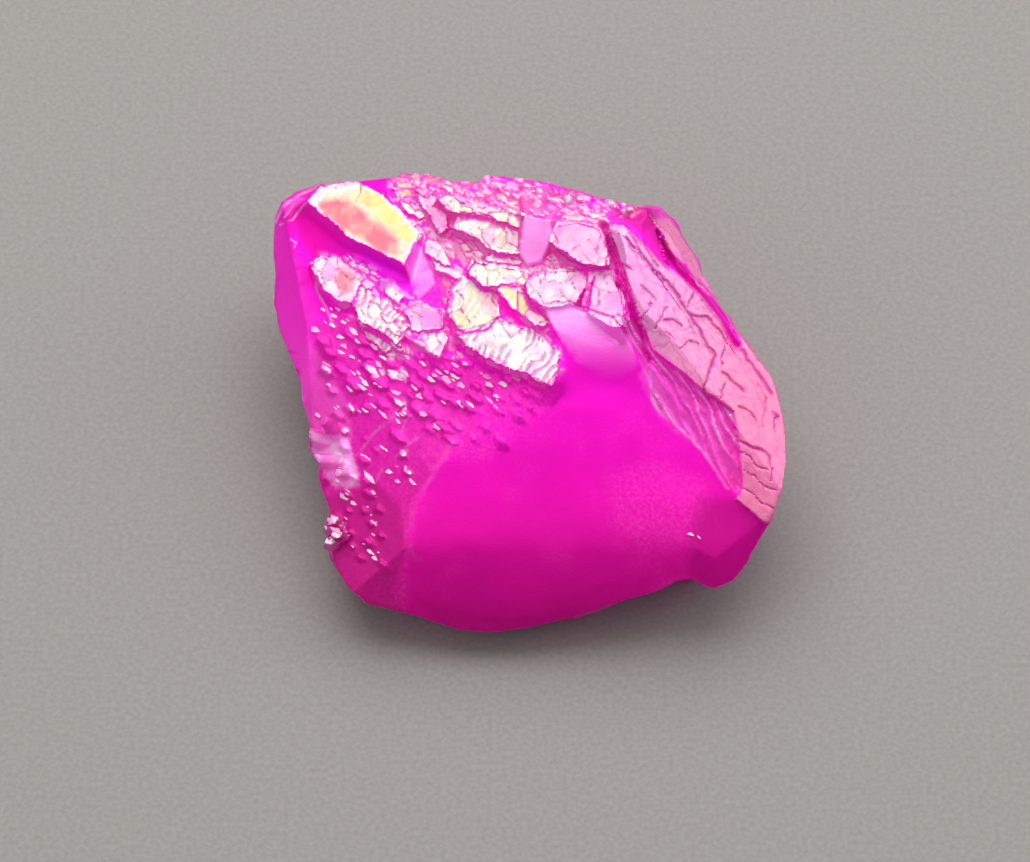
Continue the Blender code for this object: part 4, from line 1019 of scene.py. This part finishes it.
def blend(tree, factor, first, second):
    """The mix of two colours."""
    node = tree.nodes.new("ShaderNodeMix")
    node.data_type = "RGBA"
    feed(tree, node.inputs["Factor"], factor)
    feed(tree, node.inputs[6], first)
    feed(tree, node.inputs[7], second)
    return node.outputs[2]


def sum_up(tree, operation, first, second):
    """A sum, product or other number from two others."""
    node = tree.nodes.new("ShaderNodeMath")
    node.operation = operation
    node.use_clamp = True
    feed(tree, node.inputs[0], first)
    feed(tree, node.inputs[1], second)
    return node.outputs[0]


def share(tree, value, part):
    """A number, or what an output gives, times another."""
    return sum_up(tree, "MULTIPLY", value, part)


def ramp(tree, factor, stops):
    """A colour ramp with these stops."""
    node = tree.nodes.new("ShaderNodeValToRGB")
    feed(tree, node.inputs["Fac"], factor)
    elements = node.color_ramp.elements
    while len(elements) < len(stops):
        elements.new(0.5)
    for element, (place, colour) in zip(elements, stops):
        element.position = place
        element.color = (*colour, 1.0)
    return node.outputs["Color"]


def grain(tree, size, detail, low, high):
    """Noise with grains of that size in millimetres, spread from 0 to 1 between the two levels."""
    where = tree.nodes.new("ShaderNodeTexCoord")
    noise = tree.nodes.new("ShaderNodeTexNoise")
    noise.inputs["Scale"].default_value = 1.0 / (size * MM)
    noise.inputs["Detail"].default_value = detail
    tree.links.new(where.outputs["Object"], noise.inputs["Vector"])
    spread = tree.nodes.new("ShaderNodeMapRange")
    spread.inputs["From Min"].default_value = low
    spread.inputs["From Max"].default_value = high
    tree.links.new(noise.outputs["Fac"], spread.inputs["Value"])
    return spread.outputs["Result"]


def fine_cracks(tree, size, stretch, turn, width):
    """Thin lines between uneven cells of that size in millimetres, longer one way, as 1 on a line and 0 off it."""
    where = tree.nodes.new("ShaderNodeTexCoord")
    wander = tree.nodes.new("ShaderNodeTexNoise")
    wander.inputs["Scale"].default_value = 1.0 / (size * MM)
    tree.links.new(where.outputs["Object"], wander.inputs["Vector"])
    bend = tree.nodes.new("ShaderNodeVectorMath")
    bend.operation = "MULTIPLY_ADD"
    tree.links.new(wander.outputs["Color"], bend.inputs[0])
    bend.inputs[1].default_value = (size * MM,) * 3
    tree.links.new(where.outputs["Object"], bend.inputs[2])
    along = tree.nodes.new("ShaderNodeMapping")
    along.vector_type = "TEXTURE"
    along.inputs["Rotation"].default_value = (0.0, 0.0, math.radians(turn))
    along.inputs["Scale"].default_value = (stretch, 1.0, 1.0)
    tree.links.new(bend.outputs["Vector"], along.inputs["Vector"])
    cells = tree.nodes.new("ShaderNodeTexVoronoi")
    cells.feature = "DISTANCE_TO_EDGE"
    cells.inputs["Scale"].default_value = 1.0 / (size * MM)
    tree.links.new(along.outputs["Vector"], cells.inputs["Vector"])
    line = tree.nodes.new("ShaderNodeMapRange")
    line.inputs["From Min"].default_value = width
    line.inputs["From Max"].default_value = 0.0
    tree.links.new(cells.outputs["Distance"], line.inputs["Value"])
    return line.outputs["Result"]


def aura_coating():
    """The thin metal film that colours the quartz: hot pink on the fractures, pale and iridescent with painted
    flashes on the steps.
    """
    material = bpy.data.materials.new("aura_coating")
    tree, shader = node_tree(material)

    # The magenta, with its painted light and shade by height
    body = ramp(tree, mask(tree, "painted_light"), PAINTED_LIGHT_RAMP)
    body = blend(tree, share(tree, grain(tree, 5.0, 3.0, 0.35, 0.7), 0.2), body, COLOURS["cloud"])
    powder = share(tree, mask(tree, "veil"), grain(tree, 0.35, 3.0, 0.42, 0.75))
    body = blend(tree, share(tree, powder, 0.5), body, COLOURS["powder"])
    wall = blend(tree, mask(tree, "rose"), COLOURS["wall_left"], COLOURS["wall_right"])
    body = blend(tree, mask(tree, "flank"), body, wall)
    back = blend(tree, grain(tree, 7.0, 3.0, 0.42, 0.6), COLOURS["back_crimson"], COLOURS["back_purple"])
    back = blend(tree, share(tree, grain(tree, 3.0, 4.0, 0.5, 0.7), 0.6), back, COLOURS["back_pink"])
    body = blend(tree, mask(tree, "back"), body, back)
    # Painted shade on the magenta
    painted_glow_colour = blend(tree, mask(tree, "painted_shade"), body, COLOURS["painted_shade"])
    body = blend(tree, mask(tree, "lilac"), painted_glow_colour, COLOURS["lilac"])

    peach = ramp(tree, mask(tree, "rose"), PEACH_RAMP)
    peach = blend(tree, share(tree, grain(tree, 0.7, 4.0, 0.45, 0.75), 0.45), peach, COLOURS["streak"])
    scratches = fine_cracks(tree, 2.4, 2.6, -38.0, 0.035)
    peach = blend(tree, share(tree, scratches, 0.45), peach, COLOURS["scratch"])
    body = blend(tree, mask(tree, "peach"), body, peach)

    # The pale colours of the steps, which carry their painted flash of light
    pale = ramp(tree, mask(tree, "warm"), PALE_RAMP)
    hairlines = fine_cracks(tree, 1.9, 2.8, RIBBON_RUN + 78.0, 0.045)
    lines = sum_up(tree, "MAXIMUM", mask(tree, "ripple"), share(tree, hairlines, 0.35))
    pale = blend(tree, share(tree, lines, 0.7), pale, COLOURS["tread_line"])
    body = blend(tree, mask(tree, "pale"), body, pale)
    body = blend(tree, mask(tree, "coral"), body, COLOURS["coral"])
    body = blend(tree, share(tree, mask(tree, "hollow"), 0.8), body, COLOURS["crack"])
    feed(tree, shader.inputs["Base Color"], body)

    # Painted light: the magenta glows a little though it is no lamp, which keeps its shaded faces as bright as the
    # real ones
    # The pale steps and the back get none of this painted light, and the cracked face gets half of it
    unlit = sum_up(tree, "MAXIMUM", mask(tree, "pale"), mask(tree, "back"))
    unlit = sum_up(tree, "MAXIMUM", unlit, share(tree, mask(tree, "peach"), 0.5))
    feed(tree, shader.inputs["Emission Color"], blend(tree, unlit, painted_glow_colour, COLOURS["unlit"]))
    shader.inputs["Emission Strength"].default_value = 0.2

    sheen = sum_up(tree, "MAXIMUM", mask(tree, "pale"), share(tree, mask(tree, "peach"), 0.6))
    matt = sum_up(tree, "MAXIMUM", sheen, mask(tree, "veil"))
    feed(tree, shader.inputs["Metallic"], sum_up(tree, "SUBTRACT", 0.5, share(tree, matt, 0.3)))
    dull = sum_up(tree, "SUBTRACT", 0.3, share(tree, sheen, 0.06))
    dull = sum_up(tree, "ADD", dull, share(tree, mask(tree, "veil"), 0.12))
    feed(tree, shader.inputs["Roughness"], sum_up(tree, "ADD", dull, share(tree, powder, 0.1)))
    shader.inputs["IOR"].default_value = 1.5
    shader.inputs["Specular IOR Level"].default_value = 0.25

    bump = tree.nodes.new("ShaderNodeBump")
    bump.inputs["Strength"].default_value = 0.35
    bump.inputs["Distance"].default_value = 0.00003
    feed(tree, bump.inputs["Height"], grain(tree, 0.25, 4.0, 0.3, 0.7))
    tree.links.new(bump.outputs["Normal"], shader.inputs["Normal"])
    return material


def dress_crystal(solid):
    """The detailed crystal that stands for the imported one."""
    dressed = fine_crystal(solid)
    level_faces(dressed.data, solid)
    shape_faces(dressed.data)
    thin_out(dressed)
    first_block = join_blocks(dressed, growth_blocks(dressed))
    paint_masks(dressed.data, first_block)
    dressed.data.materials.clear()
    dressed.data.materials.append(aura_coating())
    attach(dressed, "root")
    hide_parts("crystal")


def lay_floor():
    """A plain pale floor under the crystal."""
    half = 4.0
    mesh = bpy.data.meshes.new("floor")
    mesh.from_pydata([(-half, -half, 0), (half, -half, 0), (half, half, 0), (-half, half, 0)], [], [(0, 1, 2, 3)])
    floor = bpy.data.objects.new("floor", mesh)
    bpy.context.scene.collection.objects.link(floor)
    material = bpy.data.materials.new("pale_paper")
    tree, shader = node_tree(material)
    paper = grain(tree, 0.5, 3.0, 0.3, 0.7)
    feed(tree, shader.inputs["Base Color"], blend(tree, paper, (0.275, 0.265, 0.255), (0.33, 0.32, 0.31)))
    shader.inputs["Roughness"].default_value = 0.9
    shader.inputs["Specular IOR Level"].default_value = 0.1
    mesh.materials.append(material)


def softbox(name, azimuth, elevation, distance, size, radiance, tint):
    """A square area light that faces the crystal from that direction."""
    light = bpy.data.lights.new(name, "AREA")
    light.shape = "SQUARE"
    light.size = size
    light.energy = radiance * math.pi * size * size
    light.color = tint
    lamp = bpy.data.objects.new(name, light)
    away = outward(azimuth, 90.0 - elevation)
    lamp.location = Vector((0.0, 0.0, 12.0 * MM)) + away * distance
    lamp.rotation_euler = away.to_track_quat("Z", "Y").to_euler()
    bpy.context.scene.collection.objects.link(lamp)


def light_studio():
    """Soft studio light: a large softbox high at the back, one at the right, a fill at the left, a dim room."""
    softbox("key", 92, 60, 0.6, 0.66, 2.9, (1.0, 0.98, 0.96))
    softbox("right_fill", 18, 31, 0.7, 0.42, 1.5, (1.0, 0.98, 1.0))
    softbox("left_fill", -150, 35, 0.9, 0.5, 0.9, (1.0, 0.97, 0.98))
    world = bpy.data.worlds.new("room")
    world.use_nodes = True
    tree = world.node_tree
    where = tree.nodes.new("ShaderNodeTexCoord")
    height = tree.nodes.new("ShaderNodeSeparateXYZ")
    tree.links.new(where.outputs["Generated"], height.inputs["Vector"])
    walls = ramp(tree, height.outputs["Z"], [(0.0, (0.14, 0.135, 0.13)), (0.3, (0.20, 0.195, 0.19)),
                                             (0.7, (0.52, 0.51, 0.50)), (1.0, (0.66, 0.65, 0.64))])
    feed(tree, tree.nodes["Background"].inputs["Color"], walls)
    bpy.context.scene.world = world
    bpy.context.scene.view_settings.view_transform = "Standard"


def place_camera():
    """The camera at the photograph's viewing angle."""
    distance = 0.58
    frame_width = 103.0 * MM
    frame_middle = (-1.2, 5.4)
    sharp_depth = 12.0
    camera = bpy.data.cameras.new("camera")
    camera.sensor_width = 36.0
    camera.lens = camera.sensor_width * distance / frame_width
    camera.clip_start = 0.01
    camera.clip_end = 20.0
    eye = bpy.data.objects.new("camera", camera)
    eye.location = at_depth(frame_middle, sharp_depth) + TO_EYE * distance
    eye.rotation_euler = TO_EYE.to_track_quat("Z", "Y").to_euler()
    bpy.context.scene.collection.objects.link(eye)
    bpy.context.scene.camera = eye


dress_crystal(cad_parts["crystal"])
lay_floor()
light_studio()
place_camera()
